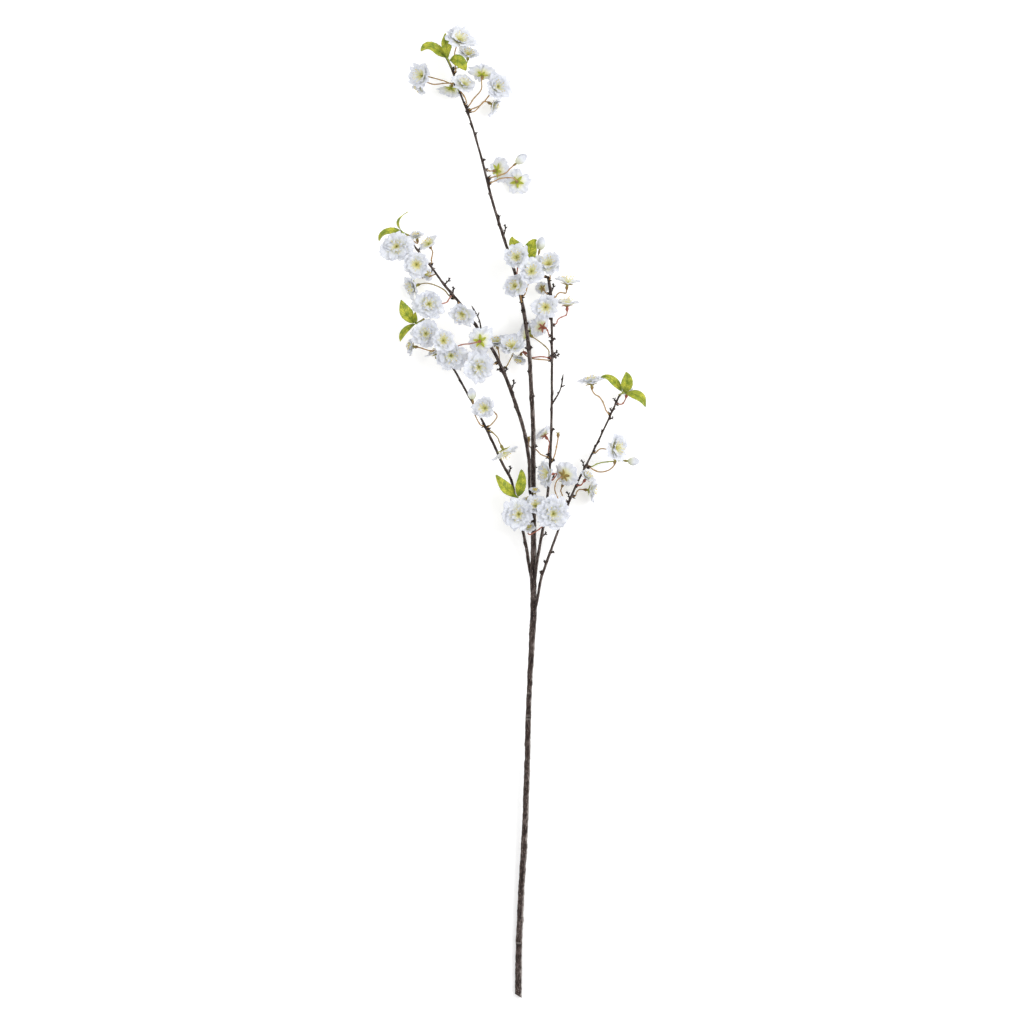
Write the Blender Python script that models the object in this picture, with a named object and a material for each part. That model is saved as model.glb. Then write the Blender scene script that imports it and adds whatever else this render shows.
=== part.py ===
"""A tall spray of cherry blossom, lying on a flat surface with its stem along Y.

Run it with blender --background --python part.py, or from the text editor. All sizes are in metres.
The cut end of the stem is at -Y, the tip at +Y, and the surface that the spray lies on is z = 0.
"""

import math

import bmesh
import bpy
import numpy as np
from mathutils import Matrix, Vector

SPRAY = "cherry_blossom_sprig"

# The middle line of each stem, from its root to its tip.
STEM_ROUTES = {
    "main_stem": (
        (0.0075, -0.58, 0.004),
        (0.008, -0.5285, 0.0055),
        (0.0105, -0.458, 0.008),
        (0.014, -0.399, 0.01),
        (0.017, -0.328, 0.013),
        (0.0205, -0.21, 0.017),
        (0.023, -0.163, 0.019),
        (0.0255, -0.1155, 0.021),
        (0.025, -0.0745, 0.0225),
        (0.0255, -0.039, 0.024),
        (0.0255, 0.014, 0.026),
        (0.025, 0.0615, 0.028),
        (0.025, 0.097, 0.0295),
        (0.0225, 0.15, 0.0315),
        (0.02, 0.191, 0.033),
        (0.0155, 0.2265, 0.0345),
        (0.0105, 0.2535, 0.0355),
        (0.0025, 0.2855, 0.0365),
        (-0.007, 0.315, 0.0375),
        (-0.0225, 0.3645, 0.038),
        (-0.0355, 0.4155, 0.039),
        (-0.0485, 0.46, 0.04),
        (-0.058, 0.486, 0.0405),
        (-0.065, 0.505, 0.041),
        (-0.072, 0.524, 0.0415),
        (-0.079, 0.538, 0.042),
    ),
    "branch_left_upper": (
        (0.023, 0.014, 0.0305),
        (0.021, 0.026, 0.031),
        (0.0205, 0.04, 0.0315),
        (0.0205, 0.0565, 0.032),
        (0.0185, 0.073, 0.033),
        (0.014, 0.097, 0.034),
        (0.003, 0.131, 0.0345),
        (-0.0085, 0.1615, 0.035),
        (-0.0225, 0.191, 0.035),
        (-0.0425, 0.2195, 0.035),
        (-0.06, 0.2445, 0.035),
        (-0.08, 0.268, 0.0345),
        (-0.097, 0.2915, 0.034),
        (-0.1135, 0.3115, 0.033),
        (-0.1215, 0.3245, 0.032),
    ),
    "branch_left_lower": (
        (0.025, -0.0895, 0.016),
        (0.02, -0.0625, 0.0185),
        (0.0165, -0.039, 0.0205),
        (0.0085, -0.0035, 0.023),
        (0.0035, 0.0175, 0.024),
        (-0.001, 0.038, 0.0245),
        (-0.0105, 0.0555, 0.025),
        (-0.0235, 0.084, 0.0255),
        (-0.039, 0.1155, 0.026),
        (-0.053, 0.1405, 0.0265),
        (-0.0675, 0.1665, 0.027),
        (-0.0875, 0.197, 0.0275),
        (-0.104, 0.2255, 0.028),
    ),
    "branch_right_inner": (
        (0.027, -0.085, 0.028),
        (0.0295, -0.059, 0.0285),
        (0.033, -0.039, 0.029),
        (0.04, 0.0025, 0.031),
        (0.0435, 0.038, 0.033),
        (0.046, 0.085, 0.035),
        (0.047, 0.144, 0.0365),
        (0.047, 0.209, 0.0375),
        (0.046, 0.2525, 0.038),
        (0.0425, 0.2785, 0.0385),
    ),
    "branch_right_outer": (
        (0.026, -0.1215, 0.026),
        (0.0295, -0.106, 0.0265),
        (0.034, -0.08, 0.0265),
        (0.039, -0.065, 0.026),
        (0.0495, -0.0355, 0.026),
        (0.065, 0.006, 0.026),
        (0.078, 0.0365, 0.0265),
        (0.0895, 0.059, 0.027),
        (0.1075, 0.0955, 0.028),
        (0.119, 0.1205, 0.029),
        (0.1265, 0.137, 0.03),
    ),
}
# The radius of each stem at some places along Y.
STEM_RADII = {
    "main_stem": (
        (-0.58, 0.0039), (-0.4, 0.0036), (-0.27, 0.0033), (-0.21, 0.003), (-0.135, 0.0038),
        (-0.07, 0.0034), (0.07, 0.0027), (0.21, 0.0023), (0.39, 0.0015), (0.538, 0.001),
    ),
    "branch_left_upper": (
        (0.014, 0.0015), (0.04, 0.0018), (0.07, 0.0022), (0.13, 0.0022), (0.17, 0.002),
        (0.24, 0.0016), (0.3245, 0.001),
    ),
    "branch_left_lower": ((-0.0895, 0.0014), (-0.06, 0.0019), (0.09, 0.0015), (0.2255, 0.0009)),
    "branch_right_inner": (
        (-0.085, 0.0013), (-0.06, 0.0018), (0.09, 0.0015), (0.235, 0.0014), (0.262, 0.0018),
        (0.2785, 0.0016),
    ),
    "branch_right_outer": ((-0.1215, 0.0013), (-0.1, 0.0017), (0.03, 0.0013), (0.137, 0.0009)),
}
# Bud stubs and twigs: where on its stem each one starts, along Y, and where its tip is from there.
STUBS = {
    "main_stem": (
        (0.472, (-0.0030, 0.0020, 0.0010)),
        (0.4545, (-0.0030, 0.0020, 0.0020)),
        (0.445, (0.0010, 0.0040, -0.0010)),
        (0.5145, (0.0020, 0.0050, 0.0010)),
        (0.499, (-0.0070, 0.0050, 0.0020)),
        (0.414, (0.0030, 0.0030, -0.0020)),
        (0.387, (0.0000, 0.0070, 0.0030)),
        (0.373, (-0.0030, 0.0020, -0.0020)),
        (0.3445, (0.0000, 0.0070, 0.0020)),
        (0.3385, (-0.0030, 0.0020, 0.0030)),
        (0.3255, (0.0020, 0.0140, -0.0020)),
        (0.2335, (-0.0036, 0.0035, 0.0020)),
        (0.2225, (0.0034, 0.0010, 0.0020)),
        (0.2135, (0.0036, 0.0015, 0.0030)),
        (0.194, (-0.0045, -0.0015, 0.0020)),
        (0.19, (0.0032, 0.0050, 0.0030)),
        (0.167, (-0.0040, 0.0005, 0.0010)),
        (0.1345, (-0.0030, 0.0030, 0.0010)),
        (0.1335, (0.0020, 0.0040, 0.0020)),
        (0.0755, (0.0040, 0.0050, 0.0010)),
        (0.0495, (0.0030, 0.0050, -0.0020)),
        (-0.204, (0.0034, 0.0010, 0.0020)),
        (-0.2745, (-0.0033, 0.0010, 0.0010)),
        (-0.394, (0.0036, 0.0010, 0.0010)),
        (-0.4815, (0.0036, 0.0010, -0.0010)),
    ),
    "branch_left_upper": (
        (0.308, (0.0020, 0.0030, 0.0010)),
        (0.268, (0.0070, 0.0080, 0.0020)),
        (0.257, (0.0010, 0.0090, -0.0010)),
        (0.1635, (0.0030, 0.0075, 0.0010)),
        (0.164, (-0.0080, 0.0045, 0.0010)),
        (0.143, (0.0035, 0.0130, 0.0010)),
        (0.141, (0.0030, 0.0005, 0.0000)),
        (0.1245, (-0.0034, -0.0005, 0.0010)),
        (0.211, (-0.0112, 0.0313, 0.0025)),
    ),
    "branch_left_lower": (
        (0.1535, (-0.0030, 0.0020, 0.0010)),
        (0.099, (-0.0035, 0.0050, 0.0010)),
        (0.086, (-0.0024, 0.0015, 0.0020)),
        (0.045, (0.0020, 0.0100, -0.0010)),
        (-0.038, (-0.0030, 0.0020, 0.0010)),
    ),
    "branch_right_inner": (
        (0.258, (0.0035, 0.0110, -0.0030)),
        (0.202, (0.0036, 0.0040, 0.0010)),
        (0.1965, (-0.0026, 0.0060, 0.0010)),
        (0.2265, (-0.0040, 0.0040, 0.0020)),
        (0.184, (0.0065, 0.0060, 0.0010)),
        (0.1835, (0.0090, 0.0025, -0.0010)),
        (0.183, (0.0060, -0.0010, 0.0000)),
        (0.1205, (-0.0020, 0.0010, 0.0020)),
        (0.0955, (0.0030, 0.0040, 0.0010)),
        (0.0635, (-0.0040, 0.0050, 0.0010)),
        (0.0355, (0.0070, 0.0100, 0.0010)),
        (-0.0295, (0.0060, 0.0060, -0.0010)),
        (0.1265, (0.0130, 0.0350, 0.0020)),
        (0.058, (0.0050, 0.0050, 0.0010)),
    ),
    "branch_right_outer": (
        (0.1285, (-0.0030, 0.0060, 0.0010)),
        (0.1335, (0.0020, 0.0050, 0.0010)),
        (0.1205, (0.0030, 0.0010, 0.0010)),
        (0.118, (-0.0030, 0.0050, 0.0020)),
        (0.1085, (0.0060, 0.0030, 0.0010)),
        (0.092, (0.0000, 0.0060, 0.0010)),
        (0.0815, (0.0030, 0.0020, 0.0010)),
        (0.0755, (0.0000, 0.0040, 0.0020)),
        (0.0495, (-0.0030, 0.0120, 0.0010)),
        (0.0295, (0.0026, 0.0000, 0.0010)),
        (0.013, (-0.0035, 0.0110, 0.0020)),
        (0.0105, (-0.0030, -0.0010, 0.0010)),
        (-0.0745, (-0.0030, 0.0050, 0.0010)),
        (-0.0485, (0.0050, 0.0020, 0.0010)),
        (-0.059, (-0.0040, 0.0010, 0.0010)),
    ),
}
# Blossoms and buds: name, stem, where on the stem the stalk starts along Y, width, middle of the
# open face, the way it faces, and any points that its stalk passes. A middle at z = 0 stands for a
# head that lies on the surface.
BLOSSOMS = (
    ("blossom_top_1", "main_stem", 0.517, 0.039,
     (-0.059, 0.5615, 0.052), (0.35, 0.7, 0.62), ((-0.068, 0.5335, 0.046),)),
    ("blossom_top_2", "main_stem", 0.5215, 0.026,
     (-0.0505, 0.544, 0.035), (0.15, 0.8, 0.55), ((-0.058, 0.525, 0.038),)),
    ("blossom_top_3", "main_stem", 0.505, 0.034,
     (-0.112, 0.5155, 0.046), (-0.7, 0.1, 0.7), ((-0.079, 0.5075, 0.046),)),
    ("blossom_top_4", "main_stem", 0.4945, 0.0285,
     (-0.0745, 0.4945, 0.0), (-0.3, -0.8, -0.5), ()),
    ("blossom_top_5", "main_stem", 0.4805, 0.0295,
     (-0.0545, 0.5075, 0.055), (0.3, 0.6, 0.7), ((-0.055, 0.4875, 0.046),)),
    ("blossom_top_6", "main_stem", 0.4765, 0.0305,
     (-0.034, 0.5205, 0.048), (0.1, 0.75, -0.65), ((-0.047, 0.485, 0.044), (-0.0365, 0.497, 0.048))),
    ("blossom_top_7", "main_stem", 0.473, 0.032,
     (-0.014, 0.5015, 0.058), (0.35, 0.1, 0.93), ((-0.0355, 0.4805, 0.047),)),
    ("blossom_top_8", "main_stem", 0.471, 0.027,
     (-0.0165, 0.479, 0.0), (0.9, -0.4, 0.1), ((-0.0435, 0.473, 0.034),)),
    ("blossom_upper_1", "main_stem", 0.4035, 0.0355,
     (-0.0105, 0.4035, 0.0), (0.75, 0.05, -0.65), ()),
    ("blossom_upper_2", "main_stem", 0.387, 0.032,
     (0.007, 0.3895, 0.0), (0.1, -0.1, -0.98), ((-0.014, 0.393, 0.043), (0.0, 0.394, 0.038))),
    ("bud_upper", "main_stem", 0.393, 0.012,
     (0.0105, 0.4155, 0.04), (0.75, 0.6, 0.2), ((-0.0085, 0.399, 0.042),)),
    ("blossom_inner_1", "main_stem", 0.262, 0.032,
     (0.004, 0.3015, 0.058), (-0.2, 0.2, 0.95), ((0.006, 0.2785, 0.042),)),
    ("blossom_inner_2", "main_stem", 0.2535, 0.032,
     (0.023, 0.285, 0.072), (0.0, 0.25, 0.95), ()),
    ("blossom_inner_3", "branch_right_inner", 0.274, 0.034,
     (0.042, 0.296, 0.054), (-0.1, 0.5, 0.85), ((0.045, 0.2775, 0.046),)),
    ("blossom_inner_4", "main_stem", 0.248, 0.0305,
     (0.001, 0.2665, 0.059), (-0.4, 0.1, 0.9), ()),
    ("blossom_inner_5", "branch_right_inner", 0.2395, 0.032,
     (0.039, 0.2405, 0.058), (-0.1, -0.1, 0.98), ()),
    ("blossom_inner_6", "branch_right_inner", 0.2525, 0.033,
     (0.066, 0.2775, 0.04), (0.1, 0.97, 0.15), ((0.0555, 0.2585, 0.04),)),
    ("blossom_inner_7", "branch_right_inner", 0.2205, 0.0295,
     (0.065, 0.2515, 0.03), (0.0, 0.98, 0.15), ((0.0545, 0.2275, 0.036),)),
    ("blossom_inner_8", "branch_right_inner", 0.2075, 0.027,
     (0.032, 0.221, 0.016), (-0.5, 0.3, -0.75), ()),
    ("blossom_inner_9", "branch_right_inner", 0.1815, 0.0305,
     (0.0135, 0.214, 0.0), (-0.75, 0.5, -0.43), ((0.0435, 0.19, 0.034), (0.037, 0.1975, 0.028))),
    ("blossom_inner_10", "branch_left_upper", 0.1685, 0.032,
     (-0.001, 0.1995, 0.036), (-0.1, 0.5, 0.6), ()),
    ("bud_inner", "branch_right_inner", 0.2775, 0.012,
     (0.034, 0.316, 0.04), (0.2, 0.95, 0.1), ((0.034, 0.295, 0.038),)),
    ("blossom_left_1", "branch_left_upper", 0.321, 0.0365,
     (-0.137, 0.3125, 0.058), (-0.15, 0.0, 0.98), ()),
    ("blossom_left_2", "branch_left_upper", 0.295, 0.033,
     (-0.1135, 0.2905, 0.064), (-0.15, -0.1, 0.97), ()),
    ("blossom_left_3", "branch_left_upper", 0.2915, 0.026,
     (-0.1015, 0.321, 0.03), (-0.45, 0.75, 0.45), ((-0.0955, 0.295, 0.032),)),
    ("blossom_left_4", "branch_left_upper", 0.2535, 0.032,
     (-0.1225, 0.2645, 0.0), (-0.85, -0.3, 0.35), ((-0.08, 0.262, 0.032), (-0.0945, 0.269, 0.026))),
    ("blossom_left_5", "branch_left_upper", 0.2565, 0.0365,
     (-0.098, 0.245, 0.056), (0.0, 0.0, 1.0), ((-0.078, 0.2465, 0.044),)),
    ("blossom_left_6", "branch_left_upper", 0.247, 0.0305,
     (-0.06, 0.23, 0.056), (-0.2, -0.45, 0.8), ()),
    ("blossom_left_7", "branch_left_lower", 0.1725, 0.034,
     (-0.0355, 0.202, 0.046), (0.2, 0.1, -0.97), ((-0.065, 0.1945, 0.044), (-0.0495, 0.198, 0.054))),
    ("blossom_left_8", "branch_left_upper", 0.177, 0.0365,
     (-0.038, 0.17, 0.056), (0.1, -0.1, 0.98), ()),
    ("blossom_left_9", "branch_left_upper", 0.164, 0.0305,
     (-0.02, 0.2055, 0.0), (-0.2, 0.75, 0.35), ((-0.014, 0.1745, 0.024),)),
    ("blossom_left_10", "branch_left_lower", 0.203, 0.033,
     (-0.1015, 0.21, 0.053), (0.0, 0.0, 1.0), ()),
    ("blossom_left_11", "branch_left_lower", 0.196, 0.0285,
     (-0.08, 0.203, 0.066), (0.1, 0.2, 0.95), ()),
    ("blossom_left_12", "branch_left_lower", 0.178, 0.0355,
     (-0.072, 0.1815, 0.05), (0.0, -0.35, 0.93), ()),
    ("bud_left", "branch_left_lower", 0.1025, 0.0105,
     (-0.047, 0.139, 0.036), (-0.1, 0.98, 0.1), ((-0.0395, 0.106, 0.032), (-0.0445, 0.117, 0.034))),
    ("blossom_left_13", "branch_left_lower", 0.099, 0.0285,
     (-0.034, 0.1225, 0.046), (-0.3, 0.0, 0.9), ((-0.0175, 0.1135, 0.036),)),
    ("blossom_left_14", "branch_left_lower", 0.0955, 0.034,
     (-0.006, 0.065, 0.046), (0.45, -0.88, 0.15), ((-0.0175, 0.0885, 0.036),)),
    ("blossom_middle_1", "branch_left_lower", 0.0, 0.038,
     (0.007, -0.003, 0.054), (-0.1, -0.05, 0.99), ()),
    ("blossom_middle_2", "main_stem", 0.007, 0.0285,
     (0.0285, 0.0105, 0.05), (0.1, 0.5, 0.85), ()),
    ("blossom_middle_3", "branch_right_inner", -0.007, 0.039,
     (0.0485, -0.0025, 0.06), (0.0, 0.0, 1.0), ()),
    ("blossom_middle_4", "branch_right_inner", 0.0635, 0.021,
     (0.0355, 0.0945, 0.0), (-0.55, 0.7, -0.4), ((0.043, 0.073, 0.03),)),
    ("blossom_middle_5", "branch_right_inner", 0.038, 0.033,
     (0.036, 0.045, 0.046), (-0.85, 0.0, 0.5), ()),
    ("blossom_right_1", "branch_right_outer", -0.0035, 0.032,
     (0.066, 0.046, 0.038), (0.55, 0.35, -0.75),
     ((0.055, 0.014, 0.033), (0.0505, 0.025, 0.037), (0.052, 0.0355, 0.046))),
    ("blossom_right_2", "branch_right_outer", 0.0105, 0.026,
     (0.0635, 0.0415, 0.016), (0.3, 0.8, 0.25), ((0.058, 0.0235, 0.024),)),
    ("blossom_right_3", "branch_right_outer", 0.032, 0.0235,
     (0.091, 0.0445, 0.04), (0.55, 0.75, 0.4), ()),
    ("blossom_right_4", "branch_right_outer", 0.019, 0.0295,
     (0.099, 0.025, 0.0), (0.98, -0.1, 0.1), ((0.0765, 0.024, 0.024),)),
    ("blossom_right_5", "branch_right_outer", 0.1145, 0.032,
     (0.093, 0.1595, 0.036), (-0.1, 0.97, 0.2), ((0.105, 0.1335, 0.038),)),
    ("blossom_right_6", "branch_right_outer", 0.071, 0.034,
     (0.1285, 0.076, 0.044), (0.75, 0.1, 0.62), ((0.104, 0.0745, 0.034),)),
    ("bud_right", "branch_right_outer", 0.0545, 0.0105,
     (0.143, 0.06, 0.02), (0.98, -0.05, 0.1), ((0.104, 0.058, 0.024), (0.1215, 0.06, 0.022))),
)
# Leaf shoots: name, the two ends of the common foot, and for each leaf the middle of its midrib, its
# tip, its width and the way its upper side faces.
LEAF_SHOOTS = (
    ("leaf_shoot_top", ((-0.0725, 0.5265, 0.0435), (-0.0755, 0.5335, 0.045)), (
        ((-0.0945, 0.5475, 0.052), (-0.1075, 0.543, 0.05), 0.013, (-0.3, 0.5, 0.8)),
        ((-0.078, 0.55, 0.052), (-0.079, 0.564, 0.054), 0.013, (0.5, 0, 0.85)),
        ((-0.063, 0.531, 0.052), (-0.0545, 0.52, 0.05), 0.014, (0, 0.2, 0.97)),
    )),
    ("leaf_shoot_left_upper", ((-0.1235, 0.327, 0.034), (-0.1275, 0.329, 0.038)), (
        ((-0.1335, 0.341, 0.043), (-0.1225, 0.354, 0.04), 0.007, (-0.9, 0.2, 0.4)),
        ((-0.1465, 0.3305, 0.044), (-0.157, 0.32, 0.036), 0.0095, (-0.2, 0.5, 0.8)),
    )),
    ("leaf_shoot_left_lower", ((-0.106, 0.2265, 0.0295), (-0.1135, 0.222, 0.034)), (
        ((-0.124, 0.2325, 0.044), (-0.131, 0.25, 0.046), 0.0155, (0.3, 0.3, 0.9)),
        ((-0.1145, 0.229, 0.04), (-0.1135, 0.236, 0.042), 0.006, (0, 0, 1)),
        ((-0.1265, 0.2135, 0.034), (-0.132, 0.201, 0.027), 0.0075, (-0.3, -0.2, 0.9)),
    )),
    ("leaf_shoot_inner", ((0.0125, 0.269, 0.0385), (0.02, 0.295, 0.041)), (
        ((0.0035, 0.314, 0.042), (0.0005, 0.3245, 0.043), 0.0165, (0, 0, 1)),
        ((0.022, 0.312, 0.046), (0.029, 0.3205, 0.047), 0.0165, (0.2, 0, 1)),
    )),
    ("leaf_shoot_right_outer", ((0.1275, 0.1385, 0.031), (0.131, 0.1405, 0.036)), (
        ((0.117, 0.1565, 0.046), (0.105, 0.1585, 0.042), 0.0095, (-0.3, 0.5, 0.8)),
        ((0.1355, 0.152, 0.046), (0.1345, 0.165, 0.046), 0.014, (0, 0, 1)),
        ((0.1485, 0.1365, 0.044), (0.1575, 0.124, 0.036), 0.012, (0.3, 0.3, 0.9)),
    )),
    ("leaf_shoot_middle", ((0.0045, 0.012, 0.026), (0.007, 0.0165, 0.034)), (
        ((-0.0085, 0.0295, 0.044), (-0.019, 0.0435, 0.044), 0.014, (0.3, 0.3, 0.9)),
        ((0.0105, 0.0355, 0.046), (0.011, 0.05, 0.046), 0.013, (0.3, 0, 0.95)),
        ((0.0025, 0.019, 0.038), (-0.0045, 0.021, 0.038), 0.0045, (0, 0, 1)),
    )),
)

STEM_STEP = 0.018  # between the rings of a stem
CUT_PLACE = Vector((0.0, 0.0075, 0.0))  # of the slanting cut, from the first point of the stem's route
CUT_FACING = Vector((-0.6, -1.0, 0.1))
STUB_RADIUS = 0.0011
STUB_SHARE = 0.8  # of the stem's radius, where the stem is thinner than its stub
STUB_TIP = 0.45  # of the stub's radius
CLEARANCE = 0.0004  # from a stem's surface to the tip of a stalk's root
STALK_RADIUS = 0.00065
STALK_RINGS = 6
STALK_SIDES = 5
STALK_STEP = 0.002  # between the points that the stalk's rings are spaced along
ROOT_LENGTH = 0.003
POD_LENGTH = 0.0065
POD_RADIUS = 0.0021
POD_WIDEST = 0.45  # of its length from the stalk
POD_NECK = 0.85  # of its radius, where the petals start
BUD_POD = 0.75  # of an open blossom's pod
HEAD_TURN = math.radians(47)  # about its axis, from one head to the next
PETAL_THICKNESS = 0.0009
LEAF_RINGS = 6
LEAF_FOLD = math.radians(24)
LEAF_THICKNESS = 0.0008
LEAF_START = 0.12  # of the way along the midrib, where the blade starts
LEAF_SPAN = 0.84  # of the midrib, from the start of the blade to its end
LEAF_ROUNDNESS = 0.8  # the lower, the fuller the blade's outline
PETIOLE_RADIUS = 0.0008
PETIOLE_RISE = 0.0006  # that its upper and lower sides stand out past a blade's
FOOT_RADIUS = 0.0011
FOOT_TAPER = 0.7  # of its radius, at the stem
FOOT_SHARE = 0.2  # of the foot, from its end, that the leaves start along

# The cup of an open blossom, each ring as its radius at a petal's middle and between two petals,
# and how far it is behind the open face, all as parts of the blossom's radius.
CUP_BACK = (0.5, 0.5, 0.34)
CUP_RIM = (1.0, 0.76, 0.0)
CUP_LIP = 0.97  # of the rim's radius, at the front edge of the petals
CUP_FRONT = (0.42, 0.42, 0.27)
CUP_THROAT = 0.46
CUP_DEPTH = 0.62
# A closed bud in the same way, from its calyx to its tip.
BUD_RINGS = ((0.8, 0.72, 0.55), (1.0, 0.9, -0.2), (0.7, 0.6, -1.0))
BUD_TIP = -1.5
BUD_DEPTH = 1.1

BARK = ("bark", (0.075, 0.052, 0.042), 0.75)
PETAL = ("petal", (0.9, 0.89, 0.93), 0.6)
LEAF = ("leaf", (0.42, 0.55, 0.08), 0.5)


def clear_scene():
    for thing in list(bpy.data.objects):
        bpy.data.objects.remove(thing, do_unlink=True)


def new_collection(name):
    made = bpy.data.collections.new(name)
    bpy.context.scene.collection.children.link(made)
    return made


def finish_of(name, colour, roughness):
    made = bpy.data.materials.new(name)
    made.use_nodes = True
    shader = made.node_tree.nodes["Principled BSDF"]
    shader.inputs["Base Color"].default_value = (*colour, 1.0)
    shader.inputs["Roughness"].default_value = roughness
    shader.inputs["Metallic"].default_value = 0.0
    return made


def new_object(name, mesh, collection, finish=None):
    made = bpy.data.objects.new(name, mesh)
    collection.objects.link(made)
    if finish:
        mesh.materials.append(finish_of(f"{name}_{finish[0]}", finish[1], finish[2]))
    return made


def object_of(bm, name, collection, finish=None):
    """Closes a bmesh with its faces out and makes it a smooth object."""
    bmesh.ops.recalc_face_normals(bm, faces=bm.faces)
    mesh = bpy.data.meshes.new(name)
    bm.to_mesh(mesh)
    bm.free()
    mesh.shade_smooth()
    return new_object(name, mesh, collection, finish)


def through(points, step):
    """Points about a step apart on a smooth curve through the given ones."""
    points = [Vector(p) for p in points]
    ends = [2 * points[0] - points[1], *points, 2 * points[-1] - points[-2]]
    line = []
    for before, a, b, after in zip(ends, ends[1:], ends[2:], ends[3:]):
        pieces = max(1, round((b - a).length / step))
        for i in range(pieces):
            t = i / pieces
            line.append(
                0.5 * (2 * a + t * (b - before) + t * t * (2 * before - 5 * a + 4 * b - after)
                       + t * t * t * (3 * a - before - 3 * b + after))
            )
    return [*line, points[-1]]


def evenly(line, count):
    """That many points, the same distance apart along a line of points."""
    places = np.array([tuple(p) for p in line])
    run = np.concatenate([[0], np.cumsum(np.linalg.norm(np.diff(places, axis=0), axis=1))])
    stops = np.linspace(0, run[-1], count)
    return [Vector([np.interp(s, run, places[:, k]) for k in range(3)]) for s in stops]


def stem_point(stem, y):
    """The middle of a stem at that place along Y, its direction and its radius there."""
    line = through(STEM_ROUTES[stem], STEM_STEP)
    ys = [p.y for p in line]
    place = Vector([np.interp(y, ys, [p[k] for p in line]) for k in range(3)])
    index = min(max(int(np.searchsorted(ys, y)), 1), len(line) - 1)
    return place, (line[index] - line[index - 1]).normalized(), stem_radius(stem, y)


def stem_radius(stem, y):
    ys, radii = zip(*STEM_RADII[stem])
    return float(np.interp(y, ys, radii))


def stem_tube(stem):
    """The bare stem as a mesh: a tapering tube with its caps sewn on."""
    curve = bpy.data.curves.new(stem, "CURVE")
    curve.dimensions = "3D"
    curve.bevel_depth = 1.0
    curve.bevel_resolution = 1
    curve.use_fill_caps = True
    line = through(STEM_ROUTES[stem], STEM_STEP)
    spline = curve.splines.new("POLY")
    spline.points.add(len(line) - 1)
    for point, place in zip(spline.points, line):
        point.co = (*place, 1.0)
        point.radius = stem_radius(stem, place.y)
    guide = bpy.data.objects.new(f"{stem}_route", curve)
    bpy.context.scene.collection.objects.link(guide)
    bpy.context.view_layer.update()
    graph = bpy.context.evaluated_depsgraph_get()
    mesh = bpy.data.meshes.new_from_object(guide.evaluated_get(graph))
    bpy.data.objects.remove(guide, do_unlink=True)
    bm = bmesh.new()
    bm.from_mesh(mesh)
    bmesh.ops.remove_doubles(bm, verts=bm.verts, dist=1e-5)
    return bm


def slant_cut(bm, stem):
    """Cuts the lower end of the main stem off on the slant."""
    foot = Vector(STEM_ROUTES[stem][0])
    geometry = bm.verts[:] + bm.edges[:] + bm.faces[:]
    cut = bmesh.ops.bisect_plane(
        bm,
        geom=geometry,
        dist=1e-6,
        plane_co=foot + CUT_PLACE,
        plane_no=CUT_FACING.normalized(),
        clear_outer=True,
    )
    edges = [e for e in cut["geom_cut"] if isinstance(e, bmesh.types.BMEdge)]
    bmesh.ops.contextual_create(bm, geom=edges)


def stub_mesh(stem):
    """The stubs and twigs of one stem, each a tapering peg that starts inside the stem."""
    bm = bmesh.new()
    for y, offset in STUBS[stem]:
        foot = stem_point(stem, y)[0]
        along = Vector(offset)
        length = along.length
        radius = min(STUB_RADIUS, STUB_SHARE * stem_radius(stem, y))
        turn = along.to_track_quat("Z", "Y").to_matrix().to_4x4()
        bmesh.ops.create_cone(
            bm,
            cap_ends=True,
            segments=STALK_SIDES,
            radius1=radius,
            radius2=STUB_TIP * radius,
            depth=length,
            matrix=Matrix.Translation(foot + along / 2) @ turn,
        )
    return bm


def unite(thing, helper):
    """Joins a helper's solids to an object, and hides the helper."""
    helper.hide_render = True
    helper.hide_set(True)
    helper.display_type = "WIRE"
    joined = thing.modifiers.new(f"joins_{helper.name}", "BOOLEAN")
    joined.operation = "UNION"
    joined.object = helper
    joined.use_self = True


def make_stem(stem, parts, helpers):
    bm = stem_tube(stem)
    if stem == "main_stem":
        slant_cut(bm, stem)
    body = object_of(bm, stem, parts, BARK)
    unite(body, object_of(stub_mesh(stem), f"{stem}_stubs", helpers))


def frames_to(line, end_side):
    """A side vector at every point of a line, carried back from its end without twist."""
    sides = [end_side]
    for i in range(len(line) - 1, 0, -1):
        back = (line[i] - line[max(i - 2, 0)]).normalized()
        side = sides[-1] - back * sides[-1].dot(back)
        sides.append(side.normalized())
    return sides[::-1]


def ring(bm, middle, axis, side, radii):
    """A ring of vertices about an axis, with its radii taken in turn from the side vector on."""
    other = axis.cross(side)
    count = len(radii)
    made = []
    for i, radius in enumerate(radii):
        turn = 2 * math.pi * i / count
        made.append(bm.verts.new(middle + radius * (math.cos(turn) * side + math.sin(turn) * other)))
    return made


def skin(bm, rings):
    """Joins each ring to the next. A ring of five meets a ring of ten at every second vertex."""
    for low, high in zip(rings, rings[1:]):
        count = max(len(low), len(high))
        for i in range(count):
            j = (i + 1) % count
            a, b = low[i * len(low) // count], low[(j * len(low) // count) % len(low)]
            c, d = high[(j * len(high) // count) % len(high)], high[i * len(high) // count]
            corners = list(dict.fromkeys((a, b, c, d)))
            bm.faces.new(corners)


def petal_radii(at_middle, between):
    return [at_middle if i % 2 == 0 else between for i in range(2 * STALK_SIDES)]


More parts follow.
